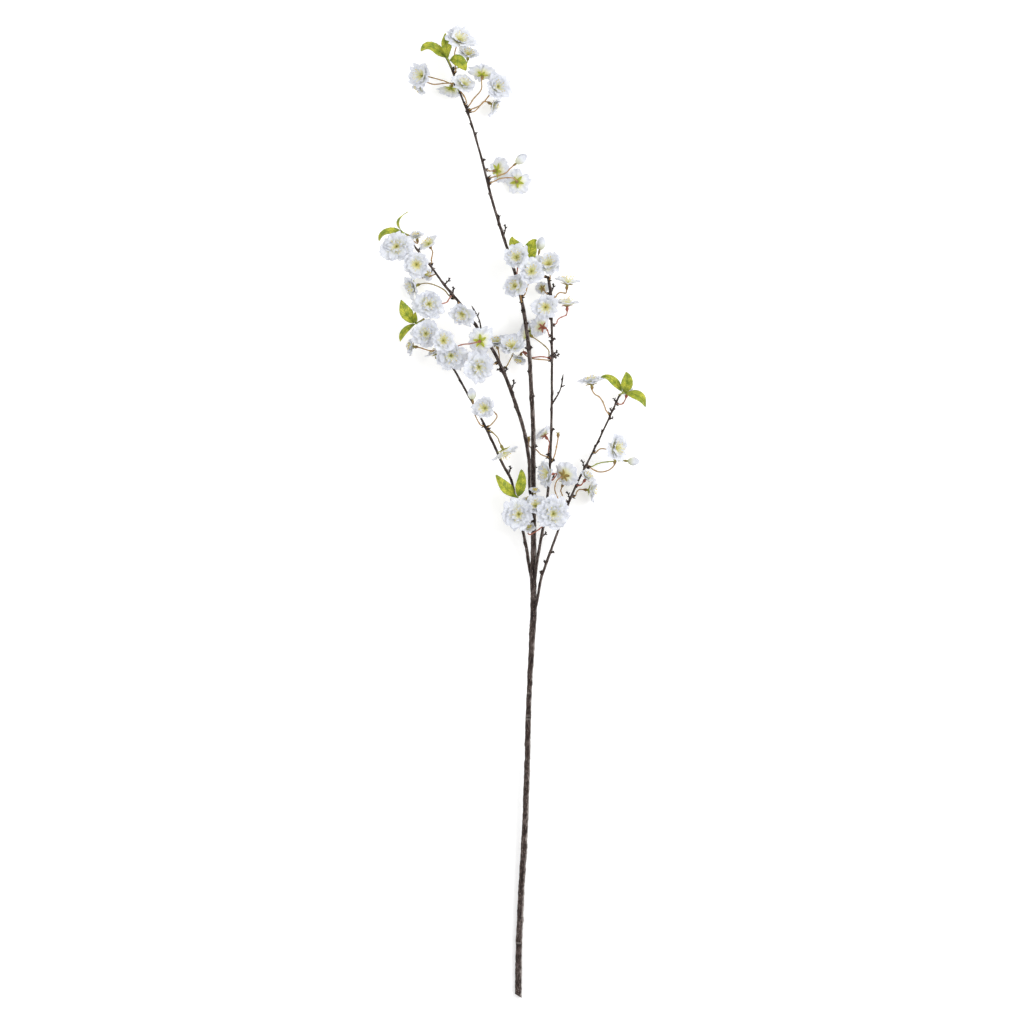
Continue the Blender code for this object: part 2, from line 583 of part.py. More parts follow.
def head_rings(bm, middle, axis, side, radius, is_bud):
    """The rings from a head's calyx to its last vertex."""
    rings = []
    if is_bud:
        for at_middle, between, behind in BUD_RINGS:
            radii = petal_radii(at_middle * radius, between * radius)
            rings.append(ring(bm, middle - behind * radius * axis, axis, side, radii))
        return [*rings, [bm.verts.new(middle - BUD_TIP * radius * axis)]]
    shapes = (
        (CUP_BACK, 0.0, 1.0),
        (CUP_RIM, 0.0, 1.0),
        (CUP_RIM, PETAL_THICKNESS, CUP_LIP),
        (CUP_FRONT, 0.0, 1.0),
    )
    for (at_middle, between, behind), forward, scale in shapes:
        radii = petal_radii(scale * at_middle * radius, scale * between * radius)
        place = middle + (forward - behind * radius) * axis
        rings.append(ring(bm, place, axis, side, radii))
    return [*rings, [bm.verts.new(middle - CUP_THROAT * radius * axis)]]


def side_of(axis, index):
    """A side vector for a head, turned a little differently on each one."""
    side = axis.orthogonal().normalized()
    return Matrix.Rotation(HEAD_TURN * index, 3, axis) @ side


def resting(middle, axis, side, radius):
    """The middle of a head, raised until no petal is below the surface."""
    other = axis.cross(side)
    at_middle, between, _ = CUP_RIM
    lowest = 0.0
    for i, part in enumerate(petal_radii(at_middle, between)):
        turn = 2 * math.pi * i / (2 * STALK_SIDES)
        reach = part * radius * (math.cos(turn) * side.z + math.sin(turn) * other.z)
        lowest = min(lowest, reach, reach + PETAL_THICKNESS * axis.z)
    return Vector((middle.x, middle.y, max(middle.z, -lowest)))


def stalk_line(stem, y, waypoints, foot, axis):
    """The stalk's middle line, from just off the stem's surface to the foot of the pod."""
    origin, along, radius = stem_point(stem, y)
    first = Vector(waypoints[0]) if waypoints else foot
    out = first - origin
    out = (out - along * out.dot(along)).normalized()
    root = origin + out * (radius + CLEARANCE)
    start = root + out * ROOT_LENGTH
    points = [root, start, *(Vector(p) for p in waypoints), foot - axis * ROOT_LENGTH, foot]
    return evenly(through(points, STALK_STEP), STALK_RINGS + len(waypoints))


def make_blossom(row, index, parts):
    """One blossom or bud as one closed solid: stalk, pod and cup."""
    name, stem, y, width, middle, facing, waypoints = row
    is_bud = name.startswith("bud")
    radius = width / 2
    axis = Vector(facing).normalized()
    side = side_of(axis, index)
    middle = resting(Vector(middle), axis, side, radius)
    neck = middle - axis * radius * (BUD_DEPTH if is_bud else CUP_DEPTH)
    foot = neck - axis * POD_LENGTH
    line = stalk_line(stem, y, waypoints, foot, axis)
    sides = frames_to(line, side)
    bm = bmesh.new()
    rings = [[bm.verts.new(line[0])]]
    for i in range(1, len(line)):
        along = (line[min(i + 1, len(line) - 1)] - line[i - 1]).normalized()
        rings.append(ring(bm, line[i], along, sides[i], [STALK_RADIUS] * STALK_SIDES))
    pod = POD_RADIUS * (BUD_POD if is_bud else 1.0)
    rings.append(ring(bm, foot + axis * POD_WIDEST * POD_LENGTH, axis, side, [pod] * STALK_SIDES))
    rings.append(ring(bm, neck, axis, side, [POD_NECK * pod] * STALK_SIDES))
    skin(bm, rings + head_rings(bm, middle, axis, side, radius, is_bud))
    object_of(bm, name, parts, PETAL)


def leaf_solid(foot, middle, tip, width, facing):
    """One folded leaf on its petiole, with four vertices to a ring."""
    control = 2 * Vector(middle) - 0.5 * (foot + Vector(tip))
    bm = bmesh.new()
    rings = [[bm.verts.new(foot)]]
    for i in range(1, LEAF_RINGS + 1):
        t = i / (LEAF_RINGS + 1)
        place = (1 - t) ** 2 * foot + 2 * t * (1 - t) * control + t * t * Vector(tip)
        along = (2 * (1 - t) * (control - foot) + 2 * t * (Vector(tip) - control)).normalized()
        up = Vector(facing)
        up = (up - along * up.dot(along)).normalized()
        across = along.cross(up)
        on_blade = min(1.0, max(0.0, t - LEAF_START) / LEAF_SPAN)
        half = max(PETIOLE_RADIUS, width / 2 * math.sin(math.pi * on_blade) ** LEAF_ROUNDNESS)
        rise = half * math.sin(LEAF_FOLD)
        reach = half * math.cos(LEAF_FOLD)
        thick = LEAF_THICKNESS / 2 + (PETIOLE_RISE if half == PETIOLE_RADIUS else 0.0)
        corners = (reach * across + rise * up, thick * up, rise * up - reach * across, -thick * up)
        rings.append([bm.verts.new(place + corner) for corner in corners])
    rings.append([bm.verts.new(Vector(tip))])
    skin(bm, rings)
    return bm


def make_shoot(row, parts, helpers):
    """A short foot with its leaves joined to it."""
    name, (low, high), leaves = row
    low, high = Vector(low), Vector(high)
    turn = (high - low).to_track_quat("Z", "Y").to_matrix().to_4x4()
    bm = bmesh.new()
    bmesh.ops.create_cone(
        bm,
        cap_ends=True,
        segments=STALK_SIDES + 1,
        radius1=FOOT_TAPER * FOOT_RADIUS,
        radius2=FOOT_RADIUS,
        depth=(high - low).length,
        matrix=Matrix.Translation((low + high) / 2) @ turn,
    )
    shoot = object_of(bm, name, parts, LEAF)
    for i, (middle, tip, width, facing) in enumerate(leaves):
        start = high + FOOT_SHARE * (low - high) * (i + 1) / len(leaves)
        leaf = leaf_solid(start, middle, tip, width, facing)
        unite(shoot, object_of(leaf, f"{name}_leaf_{i}", helpers))


def main():
    clear_scene()
    parts = new_collection(SPRAY)
    helpers = new_collection("joined_helpers")
    for stem in STEM_ROUTES:
        make_stem(stem, parts, helpers)
    for index, row in enumerate(BLOSSOMS):
        make_blossom(row, index, parts)
    for row in LEAF_SHOOTS:
        make_shoot(row, parts, helpers)


main()
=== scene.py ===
"""Looks of a cherry blossom spray that lies on a pale surface.

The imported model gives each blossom's place, width and facing, and this script builds the finished
spray around it: bark, stubs, stalks, pods, sepals, petals, stamens, buds and leaves. Sizes are in metres.
"""

from __future__ import annotations

import logging
import math
import random
from dataclasses import dataclass, field
from enum import Enum
from typing import Callable

import bmesh
import bpy
from mathutils import Matrix, Vector, noise

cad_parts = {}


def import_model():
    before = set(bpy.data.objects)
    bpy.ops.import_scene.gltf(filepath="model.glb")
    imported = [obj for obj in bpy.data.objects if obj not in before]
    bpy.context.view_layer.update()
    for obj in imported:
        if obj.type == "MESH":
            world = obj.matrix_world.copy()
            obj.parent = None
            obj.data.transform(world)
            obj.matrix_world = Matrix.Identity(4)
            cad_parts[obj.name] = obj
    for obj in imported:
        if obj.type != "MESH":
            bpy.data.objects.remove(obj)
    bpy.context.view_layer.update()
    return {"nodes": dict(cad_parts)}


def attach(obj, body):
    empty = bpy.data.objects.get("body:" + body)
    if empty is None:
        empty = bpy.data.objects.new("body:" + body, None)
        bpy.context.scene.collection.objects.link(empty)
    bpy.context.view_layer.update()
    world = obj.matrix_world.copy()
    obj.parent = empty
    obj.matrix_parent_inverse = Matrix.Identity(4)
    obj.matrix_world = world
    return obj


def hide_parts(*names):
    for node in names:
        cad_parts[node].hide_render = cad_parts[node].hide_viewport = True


LOG = logging.getLogger("cherry_spray")
BODY = "root"
GRAIN = "grain"
TONE = "tone"
UV = "surface"
SURFACE_Z = 0.0003
Place = Callable[[float, float], Vector]
Colour = tuple[float, float, float]
Spot = tuple[float, float, float]


# Shader building blocks


class Bench:
    """Adds nodes to one shader tree and links them."""

    def __init__(self, tree: bpy.types.NodeTree) -> None:
        """Keeps the tree that the nodes go in."""
        self.tree = tree

    def add(self, kind: str, **settings: object) -> bpy.types.Node:
        """Adds a node.

        Args:
            kind: The node's type name, without the ShaderNode that starts it.
            settings: Properties to set on the node.

        Returns:
            The new node.
        """
        node = self.tree.nodes.new(kind if kind.startswith("Node") else f"ShaderNode{kind}")
        for name, value in settings.items():
            setattr(node, name, value)
        return node

    def feed(self, node: bpy.types.Node, **sources: object) -> bpy.types.Node:
        """Fills a node's inputs, each with a value or from another node's socket.

        Args:
            node: The node to fill.
            sources: Input names, with _ for a space, and i with a number for an input by place.

        Returns:
            The same node.
        """
        for name, source in sources.items():
            by_place = name[0] == "i" and name[1:].isdigit()
            socket = node.inputs[int(name[1:])] if by_place else node.inputs[name.replace("_", " ")]
            if isinstance(source, bpy.types.NodeSocket):
                self.tree.links.new(source, socket)
            else:
                socket.default_value = source
        return node

    def maths(self, operation: str, first: object, second: object = 0.0) -> bpy.types.NodeSocket:
        """The result of one sum on one or two values.

        Args:
            operation: The Math node's operation.
            first: The first value.
            second: The second value.

        Returns:
            The result.
        """
        node = self.add("Math", operation=operation)
        return self.feed(node, i0=first, i1=second).outputs[0]

    def ranged(
        self, value: object, low: float, high: float, to_low: float = 0.0, to_high: float = 1.0
    ) -> bpy.types.NodeSocket:
        """A value's range low to high turned smoothly into another range.

        Args:
            value: The value.
            low: Where its range starts.
            high: Where its range ends.
            to_low: What low becomes.
            to_high: What high becomes.

        Returns:
            The new value.
        """
        node = self.add("MapRange", interpolation_type="SMOOTHSTEP")
        self.feed(node, Value=value, From_Min=low, From_Max=high, To_Min=to_low, To_Max=to_high)
        return node.outputs["Result"]

    def mixed(self, factor: object, first: object, second: object) -> bpy.types.NodeSocket:
        """Two colours mixed by a factor.

        Args:
            factor: How much there is of the second.
            first: The first colour.
            second: The second colour.

        Returns:
            The mixed colour.
        """
        node = self.add("Mix", data_type="RGBA")
        first, second = ((*c, 1.0) if isinstance(c, tuple) else c for c in (first, second))
        return self.feed(node, i0=factor, i6=first, i7=second).outputs[2]

    def noise(
        self, vector: object, scale: float, detail: float = 3.0, roughness: float = 0.55
    ) -> bpy.types.NodeSocket:
        """The value of a noise pattern.

        Args:
            vector: The place to read it at.
            scale: Its scale.
            detail: How many finer layers it has.
            roughness: How strong they are.

        Returns:
            The value.
        """
        node = self.add("TexNoise")
        self.feed(node, Vector=vector, Scale=scale, Detail=detail, Roughness=roughness)
        return node.outputs["Fac"]


class SharedGroup:
    """A shader node group that more than one finish uses, built once."""

    name = ""
    inputs: dict[str, tuple[str, object]] = {}
    outputs: dict[str, str] = {}

    def tree(self) -> bpy.types.NodeTree:
        """The group's tree, made the first time that it is asked for.

        Returns:
            The tree.
        """
        found = bpy.data.node_groups.get(self.name)
        if found:
            return found
        tree = bpy.data.node_groups.new(self.name, "ShaderNodeTree")
        for name, (kind, value) in self.inputs.items():
            socket = tree.interface.new_socket(name, in_out="INPUT", socket_type=kind)
            if kind == "NodeSocketFloat":
                socket.default_value = value
        for name, kind in self.outputs.items():
            tree.interface.new_socket(name, in_out="OUTPUT", socket_type=kind)
        bench = Bench(tree)
        self.fill(bench, bench.add("NodeGroupInput"), bench.add("NodeGroupOutput"))
        return tree

    def fill(self, bench: Bench, taken: bpy.types.Node, given: bpy.types.Node) -> None:
        """Builds what is between the group's inputs and outputs.

        Args:
            bench: The group's bench.
            taken: The node that brings the inputs.
            given: The node that takes the outputs.
        """
        raise NotImplementedError

    def use(self, bench: Bench, **sources: object) -> bpy.types.Node:
        """Places the group in a material with its own values.

        Args:
            bench: The material's bench.
            sources: The group's inputs.

        Returns:
            The group node.
        """
        node = bench.add("Group")
        node.node_tree = self.tree()
        return bench.feed(node, **sources)


class MottleGroup(SharedGroup):
    """Soft patches and fine specks, for anything that grew or was dyed unevenly."""

    name = "mottle"
    inputs = {
        "Place": ("NodeSocketVector", None),
        "Patch Scale": ("NodeSocketFloat", 60.0),
        "Speck Scale": ("NodeSocketFloat", 900.0),
    }
    outputs = {"Patches": "NodeSocketFloat", "Specks": "NodeSocketFloat"}

    def fill(self, bench: Bench, taken: bpy.types.Node, given: bpy.types.Node) -> None:
        """Two noises of different scale, each stretched to the whole range.

        Args:
            bench: The group's bench.
            taken: The node that brings the inputs.
            given: The node that takes the outputs.
        """
        patches = bench.noise(taken.outputs["Place"], taken.outputs["Patch Scale"], 2.0)
        specks = bench.noise(taken.outputs["Place"], taken.outputs["Speck Scale"], 4.0, 0.65)
        bench.feed(given, Patches=bench.ranged(patches, 0.32, 0.68), Specks=bench.ranged(specks, 0.35, 0.7))


class FibreGroup(SharedGroup):
    """Long fibres that run along a stem or a stalk."""

    name = "fibre"
    inputs = {
        "Place": ("NodeSocketVector", None),
        "Fineness": ("NodeSocketFloat", 900.0),
        "Stretch": ("NodeSocketFloat", 0.1),
    }
    outputs = {"Fibres": "NodeSocketFloat", "Height": "NodeSocketFloat"}

    def fill(self, bench: Bench, taken: bpy.types.Node, given: bpy.types.Node) -> None:
        """A noise drawn out along Y, which is the way that a stem's grain runs.

        Args:
            bench: The group's bench.
            taken: The node that brings the inputs.
            given: The node that takes the outputs.
        """
        ratio = bench.feed(bench.add("CombineXYZ"), X=1.0, Y=taken.outputs["Stretch"], Z=1.0)
        drawn = bench.add("VectorMath", operation="MULTIPLY")
        bench.feed(drawn, i0=taken.outputs["Place"], i1=ratio.outputs[0])
        coarse = bench.noise(drawn.outputs[0], taken.outputs["Fineness"], 4.0, 0.6)
        fine = bench.noise(drawn.outputs[0], bench.maths("MULTIPLY", taken.outputs["Fineness"], 3.1), 2.0)
        coarse_part, fine_part = bench.maths("MULTIPLY", coarse, 0.7), bench.maths("MULTIPLY", fine, 0.3)
        height = bench.maths("ADD", coarse_part, fine_part)
        bench.feed(given, Fibres=bench.ranged(coarse, 0.36, 0.66), Height=height)


class VeinGroup(SharedGroup):
    """A midrib with veins that leave it on both sides, on a surface map that is 0 to 1 each way."""

    name = "veins"
    inputs = {
        "Map": ("NodeSocketVector", None),
        "Along": ("NodeSocketFloat", 8.0),
        "Across": ("NodeSocketFloat", -3.0),
        "Fineness": ("NodeSocketFloat", 0.2),
        "Midrib": ("NodeSocketFloat", 0.06),
    }
    outputs = {"Veins": "NodeSocketFloat", "Height": "NodeSocketFloat"}

    def fill(self, bench: Bench, taken: bpy.types.Node, given: bpy.types.Node) -> None:
        """Stripes of the distance along and across the map, with a noise that makes them wander.

        Args:
            bench: The group's bench.
            taken: The node that brings the inputs.
            given: The node that takes the outputs.
        """
        split = bench.feed(bench.add("SeparateXYZ"), Vector=taken.outputs["Map"])
        side = bench.maths("ABSOLUTE", bench.maths("SUBTRACT", split.outputs[0], 0.5))
        side = bench.maths("MULTIPLY", side, 2.0)
        wander = bench.maths("MULTIPLY", bench.noise(taken.outputs["Map"], 6.0, 2.0), 0.9)
        run = bench.maths("MULTIPLY", split.outputs[1], taken.outputs["Along"])
        turn = bench.maths("MULTIPLY", side, taken.outputs["Across"])
        stripe = bench.maths("FRACT", bench.maths("ADD", bench.maths("ADD", run, turn), wander))
        ridge = bench.maths("ABSOLUTE", bench.maths("SUBTRACT", bench.maths("MULTIPLY", stripe, 2.0), 1.0))
        fine = bench.maths("SUBTRACT", 1.0, bench.maths("DIVIDE", ridge, taken.outputs["Fineness"]))
        midrib = bench.maths("SUBTRACT", 1.0, bench.maths("DIVIDE", side, taken.outputs["Midrib"]))
        veins = bench.maths("MAXIMUM", bench.maths("MAXIMUM", fine, midrib), 0.0)
        bench.feed(given, Veins=veins, Height=bench.maths("MULTIPLY", veins, -1.0))


MOTTLE, FIBRE, VEINS = MottleGroup(), FibreGroup(), VeinGroup()


# Finishes


@dataclass(frozen=True)
class Finish:
    """One material: its name and the values that are the same all over it."""

    name: str
    roughness: float = 0.6
    coat: float = 0.0
    subsurface: float = 0.0
    bump: float = 0.0002
    specular: float = 0.5

    def build(self) -> bpy.types.Material:
        """The material, made the first time that it is asked for.

        Returns:
            The material.
        """
        found = bpy.data.materials.get(self.name)
        if found:
            return found
        made = bpy.data.materials.new(self.name)
        made.use_nodes = True
        shader = made.node_tree.nodes["Principled BSDF"]
        shader.inputs["Roughness"].default_value = self.roughness
        shader.inputs["Coat Weight"].default_value = self.coat
        shader.inputs["Subsurface Weight"].default_value = self.subsurface
        shader.inputs["Specular IOR Level"].default_value = self.specular
        shader.inputs["Subsurface Scale"].default_value = 0.002
        shader.inputs["Subsurface Radius"].default_value = (1.0, 0.9, 0.8)
        self.paint(Bench(made.node_tree), shader)
        return made

    def paint(self, bench: Bench, shader: bpy.types.Node) -> None:
        """Builds the pattern that feeds the shader.

        Args:
            bench: The material's bench.
            shader: The material's shader.
        """
        raise NotImplementedError

    def raised(self, bench: Bench, height: object, shader: bpy.types.Node, strength: float = 1.0) -> None:
        """Feeds a height to the shader's normal through a Bump node.

        Args:
            bench: The material's bench.
            height: The height.
            shader: The material's shader.
            strength: How much of it shows.
        """
        node = bench.add("Bump")
        bench.feed(node, Height=height, Distance=self.bump, Strength=strength)
        bench.feed(shader, Normal=node.outputs["Normal"])

    def stored(self, bench: Bench, name: str) -> bpy.types.Node:
        """An attribute that the piece's own mesh holds."""
        return bench.add("Attribute", attribute_name=name)

    def mapped(self, bench: Bench) -> bpy.types.NodeSocket:
        """The piece's own surface map."""
        return bench.add("UVMap", uv_map=UV).outputs["UV"]

    def placed(self, bench: Bench) -> bpy.types.NodeSocket:
        """The piece's own coordinates."""
        return bench.add("TexCoord").outputs["Object"]


@dataclass(frozen=True)
class BarkFinish(Finish):
    """Dark brown bark with pits, grey flecks, pale scars, darker bud tips and a side painted paler as if
    lit from +X.
    """

    dark: Colour = (0.012, 0.007, 0.006)
    middle: Colour = (0.062, 0.038, 0.03)
    grey: Colour = (0.17, 0.13, 0.12)
    pale: Colour = (0.43, 0.39, 0.365)

    def paint(self, bench: Bench, shader: bpy.types.Node) -> None:
        """Fibres and mottling over the grain, and the scars, tips and painted lit side that the mesh
        stores.

        Args:
            bench: The material's bench.
            shader: The material's shader.
        """
        grain = self.stored(bench, GRAIN).outputs["Vector"]
        tone = bench.feed(bench.add("SeparateXYZ"), Vector=self.stored(bench, TONE).outputs["Vector"])
        fibre = FIBRE.use(bench, Place=grain, Fineness=620.0, Stretch=0.22)
        mottle = MOTTLE.use(bench, Place=grain, Patch_Scale=230.0, Speck_Scale=900.0)
        broad = MOTTLE.use(bench, Place=grain, Patch_Scale=80.0, Speck_Scale=2600.0)
        colour = bench.mixed(fibre.outputs["Fibres"], self.dark, self.middle)
        lit = bench.maths("MULTIPLY", mottle.outputs["Patches"], broad.outputs["Patches"])
        colour = bench.mixed(bench.maths("MULTIPLY", lit, 0.6), colour, self.grey)
        # Painted light: the bark is mixed towards pale on the side that faces +X, as if lit from that side,
        # broken up by fibres and patches.
        painted_lit_side = bench.maths("ADD", tone.outputs[2], bench.maths("MULTIPLY", fibre.outputs["Fibres"], 0.35))
        painted_lit_side = bench.ranged(bench.maths("ADD", painted_lit_side, bench.maths("MULTIPLY", lit, 0.3)), 0.7, 1.25)
        colour = bench.mixed(bench.maths("MULTIPLY", painted_lit_side, 0.75), colour, self.pale)
        flecks = bench.maths("MULTIPLY", mottle.outputs["Specks"], fibre.outputs["Fibres"])
        flecks = bench.ranged(flecks, 0.35, 0.85)
        colour = bench.mixed(bench.maths("MULTIPLY", flecks, 0.6), colour, self.pale)
        colour = bench.mixed(bench.maths("MULTIPLY", tone.outputs[0], 0.42), colour, self.pale)
        colour = bench.mixed(bench.maths("MULTIPLY", tone.outputs[1], 0.75), colour, self.dark)
        rough = bench.ranged(fibre.outputs["Fibres"], 0.0, 1.0, self.roughness - 0.12, self.roughness + 0.1)
        bench.feed(shader, Base_Color=colour, Roughness=rough)
        pits = bench.maths("MULTIPLY", mottle.outputs["Specks"], 0.4)
        height = bench.maths("ADD", fibre.outputs["Height"], pits)
        self.raised(bench, height, shader)


@dataclass(frozen=True)
class StalkFinish(Finish):
    """A thin stalk and its pod: one colour along the stalk, another on the pod, a third at the neck."""

    stalk: Colour = (0.4, 0.2, 0.07)
    pod: Colour = (0.2, 0.1, 0.04)
    neck: Colour = (0.4, 0.4, 0.05)

    def paint(self, bench: Bench, shader: bpy.types.Node) -> None:
        """The stored tone runs from the stalk to the neck, with fibres and patches over it.

        Args:
            bench: The material's bench.
            shader: The material's shader.
        """
        grain = self.stored(bench, GRAIN).outputs["Vector"]
        tone = bench.feed(bench.add("SeparateXYZ"), Vector=self.stored(bench, TONE).outputs["Vector"])
        fibre = FIBRE.use(bench, Place=grain, Fineness=1800.0, Stretch=0.12)
        mottle = MOTTLE.use(bench, Place=self.placed(bench), Patch_Scale=140.0, Speck_Scale=1600.0)
        colour = bench.mixed(tone.outputs[0], self.stalk, self.pod)
        colour = bench.mixed(tone.outputs[1], colour, self.neck)
        darker = tuple(0.45 * c for c in self.stalk)
        blotch = bench.maths("MULTIPLY", mottle.outputs["Patches"], 0.55)
        colour = bench.mixed(blotch, colour, darker)
        colour = bench.mixed(bench.maths("MULTIPLY", fibre.outputs["Fibres"], 0.25), colour, self.neck)
        bench.feed(shader, Base_Color=colour)
        self.raised(bench, fibre.outputs["Height"], shader, 0.6)


@dataclass(frozen=True)
class PetalFinish(Finish):
    """Thin white cloth petals with a green or yellow throat, radiating veins, and painted cool shade in
    patches and along the veins.
    """

    white: Colour = (0.85, 0.87, 0.915)
    painted_shade: Colour = (0.5, 0.53, 0.66)
    green: Colour = (0.68, 0.68, 0.24)
    yellow: Colour = (0.88, 0.76, 0.2)
    cream: Colour = (0.87, 0.87, 0.58)

    def paint(self, bench: Bench, shader: bpy.types.Node) -> None:
        """Veins and patches of painted cool shade on white, turning to the throat's colour near the foot of
        the petal.

        Args:
            bench: The material's bench.
            shader: The material's shader.
        """
        chart = self.mapped(bench)
        split = bench.feed(bench.add("SeparateXYZ"), Vector=chart)
        tint = bench.feed(bench.add("SeparateXYZ"), Vector=self.stored(bench, TONE).outputs["Vector"])
        veins = VEINS.use(bench, Map=chart, Along=0.4, Across=5.5, Fineness=0.4, Midrib=0.05)
        mottle = MOTTLE.use(bench, Place=self.placed(bench), Patch_Scale=230.0, Speck_Scale=1300.0)
        # Painted shade: soft patches of a cool lavender grey over the white.
        painted_shade_patches = bench.maths("MULTIPLY", mottle.outputs["Patches"], 0.38)
        colour = bench.mixed(painted_shade_patches, self.white, self.painted_shade)
        # The veins are drawn in the same cool grey: partly real veins, partly painted streaks of shade in
        # the creases.
        colour = bench.mixed(bench.maths("MULTIPLY", veins.outputs["Veins"], 0.55), colour, self.painted_shade)
        streak = bench.maths("MULTIPLY", veins.outputs["Veins"], -0.2)
        uneven = bench.maths("MULTIPLY", mottle.outputs["Specks"], 0.12)
        reach = bench.maths("ADD", bench.maths("ADD", split.outputs[1], uneven), streak)
        throat = bench.mixed(tint.outputs[0], self.green, self.yellow)
        colour = bench.mixed(bench.ranged(reach, 0.3, 0.74, 0.85, 0.0), colour, self.cream)
        colour = bench.mixed(bench.ranged(reach, 0.12, 0.56, 0.95, 0.0), colour, throat)
        bench.feed(shader, Base_Color=colour)
        height = bench.maths("ADD", veins.outputs["Height"], bench.maths("MULTIPLY", uneven, 3.0))
        self.raised(bench, height, shader, 0.7)


@dataclass(frozen=True)
class StamenFinish(Finish):
    """Filaments or anthers, from one colour at the foot to another at the tip."""

    foot: Colour = (0.74, 0.74, 0.25)
    tip: Colour = (0.9, 0.86, 0.42)

    def paint(self, bench: Bench, shader: bpy.types.Node) -> None:
        """The stored tone with a fine speckle.

        Args:
            bench: The material's bench.
            shader: The material's shader.
        """
        tone = bench.feed(bench.add("SeparateXYZ"), Vector=self.stored(bench, TONE).outputs["Vector"])
        mottle = MOTTLE.use(bench, Place=self.placed(bench), Patch_Scale=500.0, Speck_Scale=3500.0)
        colour = bench.mixed(tone.outputs[0], self.foot, self.tip)
        colour = bench.mixed(bench.maths("MULTIPLY", mottle.outputs["Specks"], 0.3), colour, self.foot)
        bench.feed(shader, Base_Color=colour)
        self.raised(bench, mottle.outputs["Specks"], shader, 0.5)


@dataclass(frozen=True)
class LeafFinish(Finish):
    """A yellow green leaf or sepal with darker green along its veins and foot."""

    blade: Colour = (0.23, 0.32, 0.01)
    edge: Colour = (0.72, 0.7, 0.05)
    vein: Colour = (0.11, 0.17, 0.006)

    def paint(self, bench: Bench, shader: bpy.types.Node) -> None:
        """Patches between two greens, with veins and a darker foot.

        Args:
            bench: The material's bench.
            shader: The material's shader.
        """
        chart = self.mapped(bench)
        split = bench.feed(bench.add("SeparateXYZ"), Vector=chart)
        veins = VEINS.use(bench, Map=chart, Along=9.0, Across=-2.6, Fineness=0.32, Midrib=0.1)
        mottle = MOTTLE.use(bench, Place=self.placed(bench), Patch_Scale=150.0, Speck_Scale=1400.0)
        colour = bench.mixed(mottle.outputs["Patches"], self.blade, self.edge)
        green = bench.maths("MULTIPLY", mottle.outputs["Specks"], 0.6)
        colour = bench.mixed(green, colour, self.vein)
        colour = bench.mixed(bench.ranged(split.outputs[1], 0.0, 0.36, 0.75, 0.0), colour, self.vein)
        colour = bench.mixed(bench.maths("MULTIPLY", veins.outputs["Veins"], 0.85), colour, self.vein)
        smooth, dull = self.roughness - 0.08, self.roughness + 0.1
        rough = bench.ranged(mottle.outputs["Specks"], 0.0, 1.0, smooth, dull)
        bench.feed(shader, Base_Color=colour, Roughness=rough)
        height = bench.maths("ADD", veins.outputs["Height"], bench.maths("MULTIPLY", green, 0.8))
        self.raised(bench, height, shader)


@dataclass(frozen=True)
class FloorFinish(Finish):
    """The plain pale surface that the spray lies on."""

    colour: Colour = (0.93, 0.93, 0.93)
    glow: float = 0.22

    def paint(self, bench: Bench, shader: bpy.types.Node) -> None:
        """Almost even, with a very faint change of shade.

        Args:
            bench: The material's bench.
            shader: The material's shader.
        """
        mottle = MOTTLE.use(bench, Place=self.placed(bench), Patch_Scale=1.5, Speck_Scale=400.0)
        shade = tuple(0.985 * c for c in self.colour)
        bench.feed(shader, Base_Color=bench.mixed(mottle.outputs["Patches"], self.colour, shade))
        bench.feed(shader, Emission_Color=(1.0, 1.0, 1.0, 1.0), Emission_Strength=self.glow)


BARK = BarkFinish("stem_bark", roughness=0.65, bump=0.0011, specular=0.18)
PETALS = PetalFinish("petal_cloth", roughness=0.6, subsurface=0.2, bump=0.00025)
BUD_PETALS = PetalFinish(
    "bud_cloth",
    roughness=0.6,
    subsurface=0.2,
    bump=0.00025,
    green=(0.7, 0.72, 0.5),
    yellow=(0.74, 0.74, 0.54),
    cream=(0.82, 0.83, 0.78),
)
FILAMENTS = StamenFinish("filament", roughness=0.5, subsurface=0.1, bump=0.0001)
ANTHERS = StamenFinish("anther", roughness=0.6, bump=0.0001, foot=(0.55, 0.36, 0.02), tip=(0.9, 0.72, 0.1))
LEAVES = LeafFinish("leaf_cloth", roughness=0.48, coat=0.08, subsurface=0.05, bump=0.0003)
SEPALS = LeafFinish("sepal", roughness=0.55, bump=0.0001, blade=(0.52, 0.56, 0.03), edge=(0.68, 0.68, 0.06))
FLOOR = FloorFinish("pale_floor", roughness=0.9)


class StalkTone(Enum):
    """The colours that stalks and pods come in."""

    TAN = StalkFinish("tan_stalk", roughness=0.5, bump=0.0001)
    RED = StalkFinish(
        "red_stalk",
        roughness=0.5,
        bump=0.0001,
        stalk=(0.42, 0.13, 0.08),
        pod=(0.3, 0.06, 0.045),
        neck=(0.4, 0.16, 0.07),
    )
    GREEN = StalkFinish(
        "green_stalk", roughness=0.5, bump=0.0001, stalk=(0.3, 0.36, 0.04), neck=(0.4, 0.5, 0.05)
    )
    OLIVE = StalkFinish(
        "olive_stalk",
        roughness=0.5,
        bump=0.0001,
        stalk=(0.3, 0.19, 0.05),
        pod=(0.17, 0.13, 0.02),
        neck=(0.35, 0.36, 0.03),
    )


# Shaping


